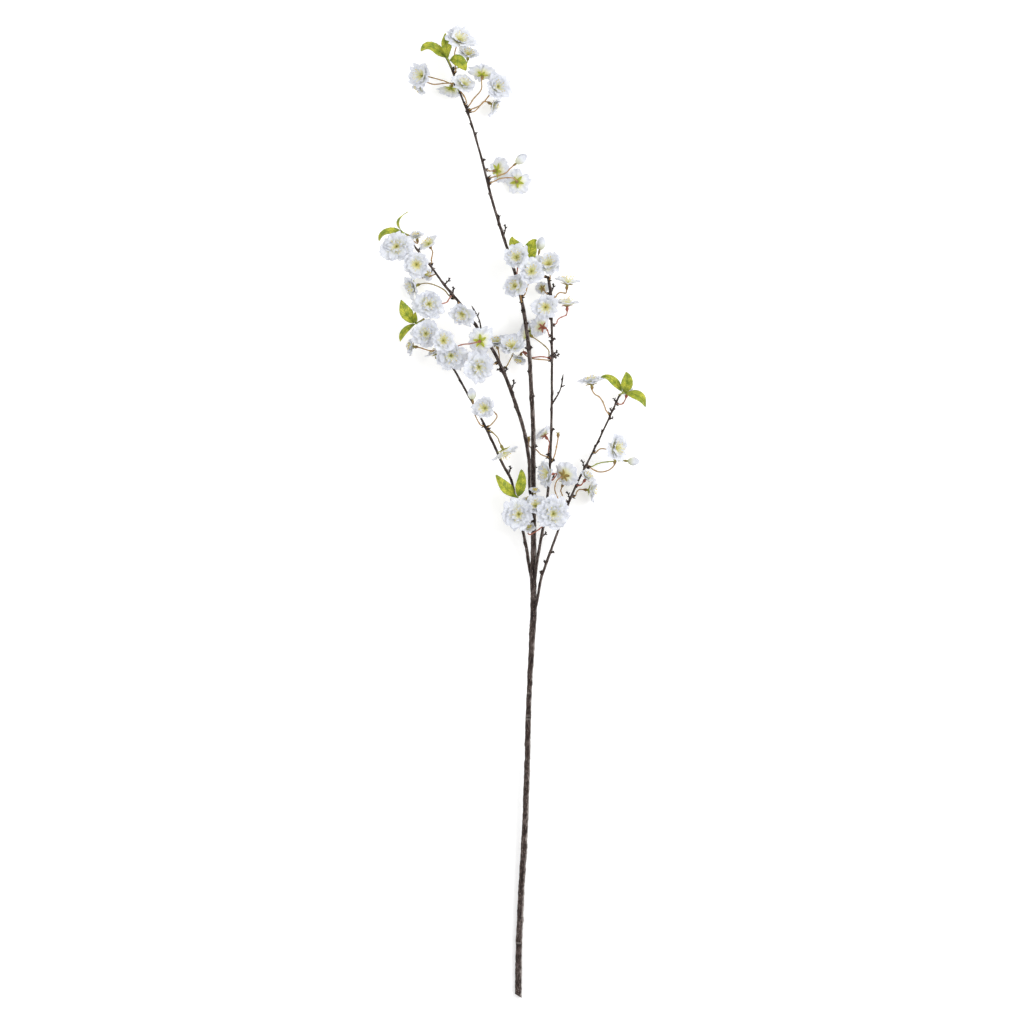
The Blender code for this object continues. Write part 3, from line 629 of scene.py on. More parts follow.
@dataclass
class MiddleLine:
    """A smooth line through some points, with directions along and beside it at any place."""

    points: list[Vector]
    samples: int = 24
    stops: list[Vector] = field(init=False)
    alongs: list[Vector] = field(init=False)
    sides: list[Vector] = field(init=False)
    length: float = field(init=False)
    pieces: int = 8

    def __post_init__(self) -> None:
        """Finds evenly spaced stops and carries a side vector along them without twist."""
        self.stops = self._even(self._smooth())
        last = len(self.stops) - 1
        self.alongs = [
            (self.stops[min(i + 1, last)] - self.stops[max(i - 1, 0)]).normalized() for i in range(last + 1)
        ]
        side = self.alongs[0].orthogonal().normalized()
        self.sides = []
        for along in self.alongs:
            side = (side - along * side.dot(along)).normalized()
            self.sides.append(side)

    def _smooth(self) -> list[Vector]:
        """Many points on a smooth curve through the given ones.

        Returns:
            The points.
        """
        points = self.points
        ends = [2 * points[0] - points[1], *points, 2 * points[-1] - points[-2]]
        line = []
        for before, a, b, after in zip(ends, ends[1:], ends[2:], ends[3:]):
            for i in range(self.pieces):
                t = i / self.pieces
                bend = 2 * before - 5 * a + 4 * b - after
                twist = 3 * a - before - 3 * b + after
                line.append(0.5 * (2 * a + t * (b - before) + t * t * bend + t**3 * twist))
        return [*line, points[-1]]

    def _even(self, line: list[Vector]) -> list[Vector]:
        """Evenly spaced points on a line.

        Args:
            line: The points of the line.

        Returns:
            The even points.
        """
        runs = [0.0]
        for a, b in zip(line, line[1:]):
            runs.append(runs[-1] + (b - a).length)
        self.length = runs[-1]
        stops, i = [], 0
        for k in range(self.samples + 1):
            run = self.length * k / self.samples
            while i < len(runs) - 2 and runs[i + 1] < run:
                i += 1
            part = (run - runs[i]) / max(runs[i + 1] - runs[i], 1e-9)
            stops.append(line[i].lerp(line[i + 1], min(part, 1.0)))
        return stops

    def at(self, part: float) -> tuple[Vector, Vector, Vector]:
        """The place, the direction along and a direction beside the line.

        Args:
            part: How far along the line, from 0 to 1.

        Returns:
            The place and the two directions.
        """
        run = min(max(part, 0.0), 1.0) * self.samples
        i = min(int(run), self.samples - 1)
        t = run - i
        along = self.alongs[i].lerp(self.alongs[i + 1], t).normalized()
        side = self.sides[i].lerp(self.sides[i + 1], t)
        side = (side - along * side.dot(along)).normalized()
        return self.stops[i].lerp(self.stops[i + 1], t), along, side

    def nearest(self, place: Vector) -> float:
        """How far along the line it comes closest to a place, from 0 to 1.

        Args:
            place: The place.

        Returns:
            The part of the length.
        """
        gaps = [(stop - place).length for stop in self.stops]
        return gaps.index(min(gaps)) / self.samples


class Workpiece:
    """One piece of the spray while it is being made."""

    def __init__(self, name: str, finishes: list[Finish]) -> None:
        """Starts an empty mesh with a surface map and the stored grain and tone.

        Args:
            name: The piece's name.
            finishes: What it is made of, in slot order.
        """
        self.name = name
        self.finishes = finishes
        self.bm = bmesh.new()
        self.chart = self.bm.loops.layers.uv.new(UV)
        self.grain = self.bm.verts.layers.float_vector.new(GRAIN)
        self.tone = self.bm.verts.layers.float_vector.new(TONE)

    def sheet(
        self,
        across: int,
        along: int,
        place: Place,
        finish: Finish,
        tone: Place | None = None,
        grain: Place | None = None,
    ) -> list[bmesh.types.BMVert]:
        """A grid whose points are put where a rule says.

        Args:
            across: How many squares the grid has one way.
            along: How many it has the other way.
            place: The rule, from the two map values to a point.
            finish: What the sheet is made of.
            tone: A rule for the stored tone.
            grain: A rule for the stored grain.

        Returns:
            The sheet's vertices.
        """
        made = bmesh.ops.create_grid(self.bm, x_segments=across, y_segments=along, size=0.5)["verts"]
        index = self.finishes.index(finish)
        for face in {face for vert in made for face in vert.link_faces}:
            face.material_index = index
            face.smooth = True
            for loop in face.loops:
                loop[self.chart].uv = (loop.vert.co.x + 0.5, loop.vert.co.y + 0.5)
        for vert in made:
            u, v = vert.co.x + 0.5, vert.co.y + 0.5
            if tone:
                vert[self.tone] = tone(u, v)
            if grain:
                vert[self.grain] = grain(u, v)
            vert.co = place(u, v)
        return made

    def thicken(self, wall: float) -> None:
        """Gives every sheet so far its wall.

        Args:
            wall: How thick the wall is.
        """
        self.bm.normal_update()
        grown = bmesh.ops.extrude_face_region(self.bm, geom=self.bm.faces[:])["geom"]
        for vert in (part for part in grown if isinstance(part, bmesh.types.BMVert)):
            vert.co -= wall * vert.normal
        bmesh.ops.recalc_face_normals(self.bm, faces=self.bm.faces[:])

    def tube(
        self,
        line: MiddleLine,
        radius: Callable[[float, float], float],
        sides: int,
        rings: int,
        finish: Finish,
        tone: Place | None = None,
    ) -> None:
        """A closed round rod about a middle line: a grid rolled up, sewn along its seam and capped.

        Args:
            line: The rod's middle line.
            radius: A rule, from the angle and the part of the length to a radius.
            sides: How many squares go round it.
            rings: How many squares go along it.
            finish: What the rod is made of.
            tone: A rule for the stored tone.
        """

        def place(u: float, v: float) -> Vector:
            """A point of the rod, from the angle and the part of the length.

            Args:
                u: The place across the grid, from 0 to 1.
                v: The place along it, from 0 to 1.

            Returns:
                The point.
            """
            middle, along, side = line.at(v)
            turn = 2 * math.pi * u
            out = math.cos(turn) * side + math.sin(turn) * along.cross(side)
            return middle + radius(turn, v) * out

        def grain(u: float, v: float) -> Vector:
            """The rod's grain at that point, as if it were straight along Y.

            Args:
                u: The place across the grid, from 0 to 1.
                v: The place along it, from 0 to 1.

            Returns:
                The grain.
            """
            turn = 2 * math.pi * u
            spread = radius(turn, v)
            return Vector((spread * math.cos(turn), v * line.length, spread * math.sin(turn)))

        made = self.sheet(sides, rings, place, finish, tone, grain)
        bmesh.ops.remove_doubles(self.bm, verts=made, dist=1e-7)
        made = [vert for vert in made if vert.is_valid]
        rims = {edge for vert in made for edge in vert.link_edges if edge.is_boundary}
        for face in bmesh.ops.holes_fill(self.bm, edges=list(rims), sides=0)["faces"]:
            face.material_index = self.finishes.index(finish)
        faces = {face for vert in made for face in vert.link_faces}
        bmesh.ops.recalc_face_normals(self.bm, faces=list(faces))

    def finish_off(self, nodes: list[str]) -> bpy.types.Object:
        """Makes the piece an object of the spray.

        Args:
            nodes: The model's nodes that it stands for.

        Returns:
            The object.
        """
        mesh = bpy.data.meshes.new(self.name)
        self.bm.to_mesh(mesh)
        self.bm.free()
        for finish in self.finishes:
            mesh.materials.append(finish.build())
        piece = bpy.data.objects.new(self.name, mesh)
        bpy.context.scene.collection.objects.link(piece)
        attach(piece, BODY)
        if nodes:
            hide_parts(*nodes)
        LOG.info("%s: %d faces", self.name, len(mesh.polygons))
        return piece


def interpolated(value: float, pairs: tuple[tuple[float, float], ...]) -> float:
    """A value read off a line through pairs of place and size.

    Args:
        value: The place.
        pairs: Places in rising order, each with its size.

    Returns:
        The size.
    """
    for (low, first), (high, second) in zip(pairs, pairs[1:]):
        if value <= high:
            part = min(max((value - low) / (high - low), 0.0), 1.0)
            return first + part * (second - first)
    return pairs[-1][1]


# Stems


@dataclass(frozen=True)
class Swelling:
    """A bump on a stem: where it is, how far it stands out and how far it spreads along the stem."""

    place: Vector
    height: float
    spread: float


@dataclass
class Stem:
    """One stem: its middle line, its radius at places along Y, and the stubs that grow from it."""

    node: str
    route: tuple[tuple[float, float, float], ...]
    radii: tuple[tuple[float, float], ...]
    stubs: tuple[tuple[float, tuple[float, float, float]], ...]
    scars: tuple[float, ...] = ()
    bands: tuple[float, ...] = ()
    forks: tuple[tuple[float, float, float], ...] = ()
    is_cut: bool = False
    sides: int = 14
    spacing: float = 0.0016
    stub_radius: float = 0.0012
    twig_length: float = 0.008
    forked_length: float = 0.0042
    scar_width: float = 0.0009
    scar_height: float = 0.00022
    knot_reach: float = 0.006
    tip_rounding: float = 0.0015
    cut_place: Spot = (0.0, 0.0075, 0.0)
    cut_facing: Spot = (-0.6, -1.0, 0.1)
    spur_shape: tuple[tuple[float, float], ...] = ((0.0, 1.2), (0.5, 1.1), (0.85, 0.7), (1.0, 0.15))

    def build(self, knots: list[Vector]) -> None:
        """Makes the stem with its stubs.

        Args:
            knots: Where every stalk of the spray leaves its stem.
        """
        self.line = MiddleLine([Vector(p) for p in self.route], samples=360)
        swellings = [Swelling(Vector(p), 0.0011, 0.007) for p in self.forks]
        for knot in knots:
            if (self.line.at(self.line.nearest(knot))[0] - knot).length < self.knot_reach:
                swellings.append(Swelling(knot, 0.0008, 0.0022))
        starts = [self.place_at(y) for y, _ in self.stubs]
        for start, (_, offset) in zip(starts, self.stubs):
            swellings.append(Swelling(start + 0.4 * Vector(offset), 0.0007, 0.003))
        piece = Workpiece(f"{self.node}_bark", [BARK])
        rings = round(self.line.length / self.spacing)
        piece.tube(self.line, self.radius_rule(swellings), self.sides, rings, BARK, self.tone_rule())
        if self.is_cut:
            self.cut_foot(piece)
        for start, (_, offset) in zip(starts, self.stubs):
            self.add_stub(piece, start, Vector(offset))
        piece.finish_off([self.node])

    def place_at(self, y: float) -> Vector:
        """The middle of the stem at a place along Y.

        Args:
            y: The place along Y.

        Returns:
            The middle of the stem there.
        """
        return min(self.line.stops, key=lambda stop: abs(stop.y - y))

    def radius_rule(self, swellings: list[Swelling]) -> Callable[[float, float], float]:
        """The stem's radius with its ridges and bumps.

        Args:
            swellings: The bumps on the stem.

        Returns:
            A rule of the angle and the part of the length.
        """
        bumps = []
        for swelling in swellings:
            part = self.line.nearest(swelling.place)
            middle, along, side = self.line.at(part)
            away = swelling.place - middle
            turn = math.atan2(away.dot(along.cross(side)), away.dot(side))
            bumps.append((part * self.line.length, turn, swelling.height, swelling.spread))

        def radius(turn: float, v: float) -> float:
            """The stem's radius at one place.

            Args:
                turn: The angle round the middle line.
                v: The part of the length.

            Returns:
                The radius.
            """
            run = v * self.line.length
            y = self.line.at(v)[0].y
            size = interpolated(y, self.radii)
            around = Vector((math.cos(turn), math.sin(turn), 0))
            size *= 1.02 + 0.14 * noise.noise(around * 0.8 + Vector((0, 0, run * 110)))
            size *= 1 + 0.14 * noise.noise(around * 2.2 + Vector((5, 0, run * 330)))
            for middle, facing, height, spread in bumps:
                gap = (run - middle) / spread
                if abs(gap) < 3:
                    towards = max(0.0, 0.15 + 0.85 * math.cos(turn - facing))
                    size += height * math.exp(-gap * gap) * towards**2
            size += self.scar_height * self.ringed(y, self.scars)
            left = (self.line.length - run) / self.tip_rounding
            return size * math.sqrt(max(0.02, 1 - max(0.0, 1 - left) ** 2))

        return radius

    def ringed(self, y: float, places: tuple[float, ...]) -> float:
        """How much of a ring round the stem there is at a place along Y, from 0 to 1.

        Args:
            y: The place along Y.
            places: Where the rings are.

        Returns:
            How much of a ring there is.
        """
        return min(1.0, sum(math.exp(-(((y - place) / self.scar_width) ** 2)) for place in places))

    def tone_rule(self) -> Place:
        """Pale on the scars, dark on the bands and at the tip, and painted paler on the side that faces +X,
        as if lit from there.

        Returns:
            The rule for the stem's stored tone.
        """

        def tone(u: float, v: float) -> Vector:
            """The stored tone at one place of the bark.

            Args:
                u: The part of the way round.
                v: The part of the length.

            Returns:
                The tone.
            """
            middle, along, side = self.line.at(v)
            turn = 2 * math.pi * u
            out = math.cos(turn) * side + math.sin(turn) * along.cross(side)
            dark = max(0.0, (v - 0.97) / 0.03, self.ringed(middle.y, self.bands))
            # The third value is painted light: it rises on the side that faces +X, where the bark is drawn
            # paler as if lit.
            return Vector((self.ringed(middle.y, self.scars), dark, max(0.0, out.x)))

        return tone

    def cut_foot(self, piece: Workpiece) -> None:
        """Takes the foot of the stem off on the slant and closes it.

        Args:
            piece: The stem.
        """
        foot = Vector(self.route[0]) + Vector(self.cut_place)
        whole = [*piece.bm.verts, *piece.bm.edges, *piece.bm.faces]
        slant = Vector(self.cut_facing).normalized()
        cut = bmesh.ops.bisect_plane(
            piece.bm, geom=whole, dist=1e-6, plane_co=foot, plane_no=slant, clear_outer=True
        )
        edges = [part for part in cut["geom_cut"] if isinstance(part, bmesh.types.BMEdge)]
        bmesh.ops.contextual_create(piece.bm, geom=edges)
        bmesh.ops.recalc_face_normals(piece.bm, faces=piece.bm.faces)

    def add_stub(self, piece: Workpiece, start: Vector, offset: Vector) -> None:
        """A bud stub or a short twig: a waist, a swollen middle and a pointed tip.

        Args:
            piece: The stem.
            start: Where it leaves the stem.
            offset: Where its tip is from there.
        """
        length = offset.length
        radius = min(self.stub_radius, 0.85 * interpolated(start.y, self.radii))
        bend = Vector((0.1 * offset.y, 0, 0.12 * length))
        line = MiddleLine([start, start + 0.5 * offset + bend, start + 1.05 * offset], samples=12)
        twig = ((0.0, 1.0), (0.25, 0.8), (0.5, 0.62), (0.66, 0.7), (0.82, 0.85), (0.94, 0.6), (1.0, 0.12))
        stub = ((0.0, 1.2), (0.35, 1.05), (0.6, 1.0), (0.8, 0.78), (0.93, 0.5), (1.0, 0.12))
        shape = twig if length > self.twig_length else stub

        def size(turn: float, v: float) -> float:
            """The stub's radius, a little flattened."""
            scale = 1 + 0.08 * math.sin(2 * turn + 30 * v)
            return radius * scale * interpolated(v, shape)

        rings = 8 if length < self.twig_length else 14
        piece.tube(line, size, 8, rings, BARK, lambda u, v: Vector((0, max(0.0, (v - 0.4) / 0.6), 0)))
        if length > self.forked_length:
            self.add_fork(piece, line, radius)

    def add_fork(self, piece: Workpiece, line: MiddleLine, radius: float) -> None:
        """Two or three small scaly spurs that leave a stub on alternate sides.

        Args:
            piece: The stem.
            line: The stub's middle line.
            radius: The stub's radius.
        """
        for index, part in enumerate((0.38, 0.6, 0.8)[: 2 + (line.length > 0.007)]):
            start, along, _ = line.at(part)
            out = Vector((along.y, -along.x, 0.5)).normalized() * (1 if index % 2 else -1)
            reach = 0.0021 + 0.06 * line.length * (index % 2)
            tip = start + reach * (0.8 * along + out)
            spur = MiddleLine([start, start.lerp(tip, 0.5) + 0.15 * reach * out, tip], samples=6)
            piece.tube(
                spur,
                lambda turn, v: 0.6 * radius * interpolated(v, self.spur_shape),
                6,
                5,
                BARK,
                lambda u, v: Vector((0, 0.3 + 0.7 * v, 0)),
            )


# Blossoms


@dataclass
class Head:
    """Where a blossom or bud is, which way it faces, how wide it is and how its stalk runs."""

    name: str
    line: list[Vector]
    neck: Vector
    axis: Vector
    side: Vector
    radius: float
    is_bud: bool

    @classmethod
    def of_node(cls, name: str, node: bpy.types.Object) -> Head:
        """Reads a head from its solid, whose rings of vertices follow one another from the root.

        Args:
            name: The node's name.
            node: The node's object.

        Returns:
            The head.
        """
        bm = bmesh.new()
        bm.from_mesh(node.data)
        bmesh.ops.remove_doubles(bm, verts=bm.verts, dist=1e-6)
        hub = max(bm.verts, key=lambda vert: len(vert.link_edges))
        axis = sum((face.normal * face.calc_area() for face in hub.link_faces), Vector()).normalized()
        rings = cls.rings_from(cls.rings_from([hub])[-1])
        middles = [sum((vert.co for vert in ring), Vector()) / len(ring) for ring in rings]
        stalk = [middle for ring, middle in zip(rings, middles) if len(ring) < 8][:-1]
        is_bud = name.startswith("bud")
        widest = rings[-3 if is_bud else -4]
        middle = sum((vert.co for vert in widest), Vector()) / len(widest)
        spokes = [vert.co - middle - axis * axis.dot(vert.co - middle) for vert in widest]
        side = max(spokes, key=lambda spoke: spoke.length)
        radius = side.length
        neck = stalk[-1].copy()
        bm.free()
        return cls(name, stalk, neck, axis, side.normalized(), radius, is_bud)

    @classmethod
    def of_face(cls, name: str, width: float, middle: Spot, facing: Spot, stalk: tuple[Spot, ...]) -> Head:
        """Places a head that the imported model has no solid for.

        Args:
            name: What to call it.
            width: How wide it is.
            middle: The middle of its open face.
            facing: The way that it faces.
            stalk: The points that its stalk passes, from the root.

        Returns:
            The head.
        """
        axis, radius = Vector(facing).normalized(), width / 2
        neck = Vector(middle) - 0.62 * radius * axis
        foot = neck - 0.0065 * axis
        line = [*(Vector(spot) for spot in stalk), foot, neck]
        return cls(name, line, neck, axis, axis.orthogonal().normalized(), radius, False)

    @staticmethod
    def rings_from(start: list[bmesh.types.BMVert]) -> list[list[bmesh.types.BMVert]]:
        """The vertices one step away from the start, then two steps away, and so on.

        Args:
            start: The vertices to start from.

        Returns:
            The rings, with the start as the first.
        """
        rings, seen = [list(start)], set(start)
        while rings[-1]:
            step = {edge.other_vert(vert) for vert in rings[-1] for edge in vert.link_edges} - seen
            seen |= step
            rings.append(sorted(step, key=lambda vert: vert.index))
        return rings[:-1]


@dataclass(frozen=True)
class PetalRing:
    """A ring of like petals.

    Lengths are parts of the blossom's radius, and leans are angles from the way that it faces, in degrees.
    """

    count: int
    length: float
    half_width: float
    first_lean: float
    last_lean: float
    offset: float
    lift: float
    notch: float


class Fullness(Enum):
    """How many rings of petals a blossom has."""

    DOUBLE = (
        PetalRing(5, 1.19, 0.54, 62, 94, 0.0, 0.0, 0.14),
        PetalRing(5, 1.0, 0.4, 52, 84, 0.5, 0.03, 0.15),
        PetalRing(4, 0.74, 0.26, 34, 56, 0.25, 0.05, 0.12),
    )
    HALF_DOUBLE = (
        PetalRing(5, 1.2, 0.53, 56, 90, 0.0, 0.0, 0.15),
        PetalRing(5, 0.92, 0.36, 40, 68, 0.5, 0.03, 0.16),
    )
    SINGLE = (PetalRing(5, 1.2, 0.44, 56, 92, 0.0, 0.0, 0.15),)


@dataclass
class Blossom:
    """An open blossom with its stalk."""

    head: Head
    fullness: Fullness
    tone: StalkTone
    nodes: list[str]
    seed: int
    is_bright: bool = False
    wall: float = 0.00022
    pod_length: float = 0.0065
    pod_radius: float = 0.0020
    stalk_radius: float = 0.00072
    squares_across: int = 16
    squares_along: int = 10
    rounding: float = 0.3
    widest_at: float = 0.66
    cup: float = 0.22
    ruffle: float = 0.055
    pleat: float = 0.015
    crumple: float = 0.085
    layer_gap: float = 0.00012
    stalk_inside: float = 0.0016
    filament_radius: float = 0.00018
    anther_size: float = 0.00052

    def build(self) -> None:
        """Makes the stalk with its pod and sepals, and the petals with their stamens."""
        self.random = random.Random(self.seed)
        self.warmth = self.random.random()
        self.build_stalk()
        piece = Workpiece(f"{self.head.name}_petals", [PETALS, FILAMENTS, ANTHERS])
        for layer, ring in enumerate(self.fullness.value):
            for index in range(ring.count):
                self.add_petal(piece, ring, index, layer)
        piece.thicken(self.wall)
        self.add_stamens(piece)
        piece.finish_off(self.nodes)

    def frame_at(self, turn: float) -> tuple[Vector, Vector]:
        """The outward and sideways directions of a petal at an angle about the axis.

        Args:
            turn: The angle about the axis.

        Returns:
            The outward and sideways directions.
        """
        out = Matrix.Rotation(turn, 3, self.head.axis) @ self.head.side
        return out, self.head.axis.cross(out)

    def add_petal(self, piece: Workpiece, ring: PetalRing, index: int, layer: int) -> None:
        """One petal: a grid bent along an arc, pleated from its foot, ruffled and notched at its rim.

        Args:
            piece: The piece that it goes in.
            ring: The ring that it belongs to.
            index: Its place in the ring.
            layer: The ring's place in the blossom.
        """
        head, rand = self.head, self.random
        size = head.radius
        turn = 2 * math.pi * (index + ring.offset) / ring.count + rand.uniform(-0.2, 0.2)
        out, beside = self.frame_at(turn)
        length = size * ring.length * rand.uniform(0.8, 1.06)
        half = size * ring.half_width * rand.uniform(0.82, 1.22)
        first = math.radians(ring.first_lean + rand.uniform(-11, 8))
        last = math.radians(ring.last_lean + rand.uniform(-24, 12))
        start = head.neck + head.axis * ring.lift * size
        phase = [rand.uniform(0, 2 * math.pi) for _ in range(6)]
        notch = ring.notch * rand.uniform(0.5, 1.35)
        skew = rand.uniform(-0.16, 0.16)
        pleats = rand.uniform(6.0, 8.5)
        ruffle = self.ruffle * size * rand.uniform(0.6, 1.35)
        floor = SURFACE_Z + self.layer_gap * (layer * 5 + index)

        def place(u: float, v: float) -> Vector:
            """A point of the petal.

            Args:
                u: The place across the grid, from 0 to 1.
                v: The place along it, from 0 to 1.

            Returns:
                The point.
            """
            x = 2 * u - 1
            edge = 1 - self.rounding * abs(x) ** 2.6 - notch * math.exp(-(((x - skew) / 0.17) ** 2))
            edge += 0.034 * math.sin(6 * x + phase[0]) + 0.022 * math.sin(15 * x + phase[5])
            run = v * edge
            lean = first + (last - first) * run
            mean = first + (last - first) * run / 2
            width = half * (0.16 + 0.84 * math.sin(math.pi / 2 * min(1.0, run / self.widest_at)) ** 1.15)
            width *= 1 - 0.14 * max(0.0, run - self.widest_at) / (1 - self.widest_at)
            width *= 1 + 0.05 * math.sin(11 * v + phase[4]) * v
            cup = self.cup * width * x * x * (1 - 0.6 * v)
            wave = ruffle * v * v * (
                math.sin(4.4 * x + phase[1]) + 0.6 * math.sin(7.5 * x + phase[2] + 3 * v)
            )
            pleat = self.pleat * size * math.sin(pleats * x + 1.2 * math.sin(5 * v + phase[3]) + phase[4])
            crumple = noise.noise(Vector((4.0 * x, 6.0 * v, phase[0] + 7 * index)))
            crumple *= self.crumple * size * v
            normal = head.axis * math.sin(lean) - out * math.cos(lean)
            point = start + run * length * (out * math.sin(mean) + head.axis * math.cos(mean))
            point += beside * (x + skew * 0.25 * v) * width
            point += normal * (cup + wave + crumple + pleat * min(1.0, 2.5 * v))
            point.z = max(point.z, floor)
            return point

        tint = Vector((self.warmth, layer / 2, rand.random()))
        piece.sheet(self.squares_across, self.squares_along, place, PETALS, lambda u, v: tint)

    def add_stamens(self, piece: Workpiece) -> None:
        """A tuft of thin filaments, each with an anther.

        Args:
            piece: The piece that it goes in.
        """
        head, rand = self.head, self.random
        count = 13 if self.fullness is Fullness.DOUBLE else 16
        start = head.neck + head.axis * 0.1 * head.radius
        for index in range(count):
            turn = 2.4 * index + rand.uniform(-0.3, 0.3)
            out, _ = self.frame_at(turn)
            lean = math.radians(8 + 40 * math.sqrt((index + 0.5) / count))
            length = head.radius * rand.uniform(0.5, 0.72)
            tip = start + length * (head.axis * math.cos(lean) + out * math.sin(lean))
            middle = start.lerp(tip, 0.5) + head.axis * 0.05 * length
            line = MiddleLine([start, middle, tip], samples=3)
            piece.tube(
                line, lambda turn, v: self.filament_radius, 4, 3, FILAMENTS, lambda u, v: Vector((v, 0, 0))
            )
            self.add_anther(piece, tip, line.alongs[-1])

    def add_anther(self, piece: Workpiece, tip: Vector, along: Vector) -> None:
        """A small two-lobed grain of an anther.

        Args:
            piece: The piece that it goes in.
            tip: Where the filament ends.
            along: The way that it points.
        """
        size = self.anther_size * self.random.uniform(0.8, 1.2)
        turn = along.to_track_quat("Z", "Y").to_matrix().to_4x4()
        shape = Matrix.Translation(tip) @ turn @ Matrix.Diagonal((size, 0.7 * size, 1.3 * size, 1))
        made = bmesh.ops.create_icosphere(piece.bm, subdivisions=1, radius=1.0, matrix=shape)["verts"]
        for face in {face for vert in made for face in vert.link_faces}:
            face.material_index = 2
            face.smooth = True
        for vert in made:
            vert[piece.tone] = Vector((0.5 + 0.5 * (vert.co - tip).dot(along) / (1.3 * size), 0, 0))

    def build_stalk(self) -> None:
        """The stalk with its scaly foot, small joints and pod, and the sepals round its neck."""
        head, rand = self.head, self.random
        finish = self.tone.value
        piece = Workpiece(f"{head.name}_stalk", [finish, SEPALS, BARK])
        inside = head.line[0] + (head.line[0] - head.line[1]).normalized() * self.stalk_inside
        line = MiddleLine([inside, *head.line[1:-1], head.neck + head.axis * 0.0002], samples=40)
        pod = 1 - self.pod_length / line.length
        joints = sorted(rand.uniform(0.2, 0.85) * pod for _ in range(2))
        for index in range(5):
            self.add_sepal(piece, index, self.sepal_finish())
        piece.thicken(self.wall)
        self.add_rod(piece, line, pod, joints, finish)
        self.add_scales(piece, line)
        piece.finish_off(self.nodes)

    def add_scales(self, piece: Workpiece, line: MiddleLine) -> None:
        """The brown bud scales that the stalk came out of, in a tuft round its root.

        Args:
            piece: The piece that it goes in.
            line: The stalk's middle line.
        """
        rand = self.random
        shape = ((0.0, 0.7), (0.3, 1.1), (0.6, 1.0), (0.85, 0.6), (1.0, 0.12))
        start, along, side = line.at(0.0)
        for index in range(4):
            turn = Matrix.Rotation(math.radians(90 * index) + rand.uniform(-0.4, 0.4), 3, along)
            reach = rand.uniform(0.0032, 0.0055)
            tip = start + reach * (along + rand.uniform(0.25, 0.75) * (turn @ side))
            middle = start.lerp(tip, 0.5) + 0.12 * reach * (turn @ side)
            tip.z = max(tip.z, 0.001)
            size = rand.uniform(0.0006, 0.0009)
            piece.tube(
                MiddleLine([start, middle, tip], samples=6),
                lambda turn, v: size * interpolated(v, shape),
                6,
                5,
                BARK,
                lambda u, v: Vector((0, 0.25 + 0.6 * v, 0)),
            )

    def add_rod(
        self, piece: Workpiece, line: MiddleLine, pod: float, joints: list[float], finish: Finish
    ) -> None:
        """The rod of stalk and pod.

        Args:
            piece: The piece that it goes in.
            line: Its middle line.
            pod: The part of the length where the pod begins.
            joints: The parts of the length where it has small rings.
            finish: What it is made of.
        """
        scale = 0.75 if self.head.is_bud else 1.0
        shape = ((0.0, 0.3), (0.2, 0.65), (0.45, 1.0), (0.65, 0.92), (0.85, 0.72), (1.0, 0.8))

        def radius(turn: float, v: float) -> float:
            """The rod's radius, with its foot, its joints and its pod.

            Args:
                turn: The angle round the middle line.
                v: The part of the length.

            Returns:
                The radius.
            """
            size = self.stalk_radius * (1 + 0.9 * math.exp(-((v * line.length / 0.0022) ** 2)))
            for joint in joints:
                size += 0.00028 * math.exp(-(((v - joint) * line.length / 0.0008) ** 2))
            if v > pod:
                size = max(size, scale * self.pod_radius * interpolated((v - pod) / (1 - pod), shape))
            return size * (1 + 0.06 * math.sin(3 * turn + 40 * v))

        def tone(u: float, v: float) -> Vector:
            """The stored tone, from the stalk to the pod and its neck.

            Args:
                u: The place across the grid, from 0 to 1.
                v: The place along it, from 0 to 1.

            Returns:
                The tone.
            """
            pod_part = max(0.0, (v - pod) / (1 - pod))
            return Vector((min(1.0, 4 * pod_part), max(0.0, (pod_part - 0.6) / 0.4), 0))

        piece.tube(line, radius, 8, 44, finish, tone)

    def sepal_finish(self) -> Finish:
        """Some blossoms have bright green sepals, and the others have sepals of the stalk's own colour.

        Returns:
            The finish.
        """
        return SEPALS if self.is_bright else self.tone.value

    def add_sepal(self, piece: Workpiece, index: int, finish: Finish) -> None:
        """One narrow pointed sepal that spreads from the neck.

        Args:
            piece: The piece that it goes in.
            index: Its place in the ring.
            finish: What it is made of.
        """
        head, rand = self.head, self.random
        out, beside = self.frame_at(2 * math.pi * (index + 0.5) / 5 + rand.uniform(-0.15, 0.15))
        closed = head.is_bud
        length = head.radius * (0.9 if closed else 0.46) * rand.uniform(0.85, 1.15)
        half = length * (0.3 if closed else 0.22)
        first = math.radians(48 if closed else 62)
        last = math.radians(-6 if closed else 96 + rand.uniform(-10, 14))
        start = head.neck + out * 0.0011 - head.axis * 0.0004

        def place(u: float, v: float) -> Vector:
            """A point of the sepal.

            Args:
                u: The place across the grid, from 0 to 1.
                v: The place along it, from 0 to 1.

            Returns:
                The point.
            """
            x = 2 * u - 1
            mean = first + (last - first) * v / 2
            lean = first + (last - first) * v
            width = half * math.sin(math.pi * min(1.0, 0.22 + 0.78 * v)) ** 0.8
            normal = head.axis * math.sin(lean) - out * math.cos(lean)
            point = start + v * length * (out * math.sin(mean) + head.axis * math.cos(mean))
            point += beside * x * width + normal * 0.3 * width * x * x
            point.z = max(point.z, SURFACE_Z)
            return point

        piece.sheet(4, 6, place, finish, lambda u, v: Vector((0.5, 0.3, 0)))


@dataclass
class Calyx(Blossom):
    """A stalk and pod that have lost their petals and stamens, with the sepals left."""

    def build(self) -> None:
        """Makes the stalk with its sepals."""
        self.random = random.Random(self.seed)
        self.build_stalk()


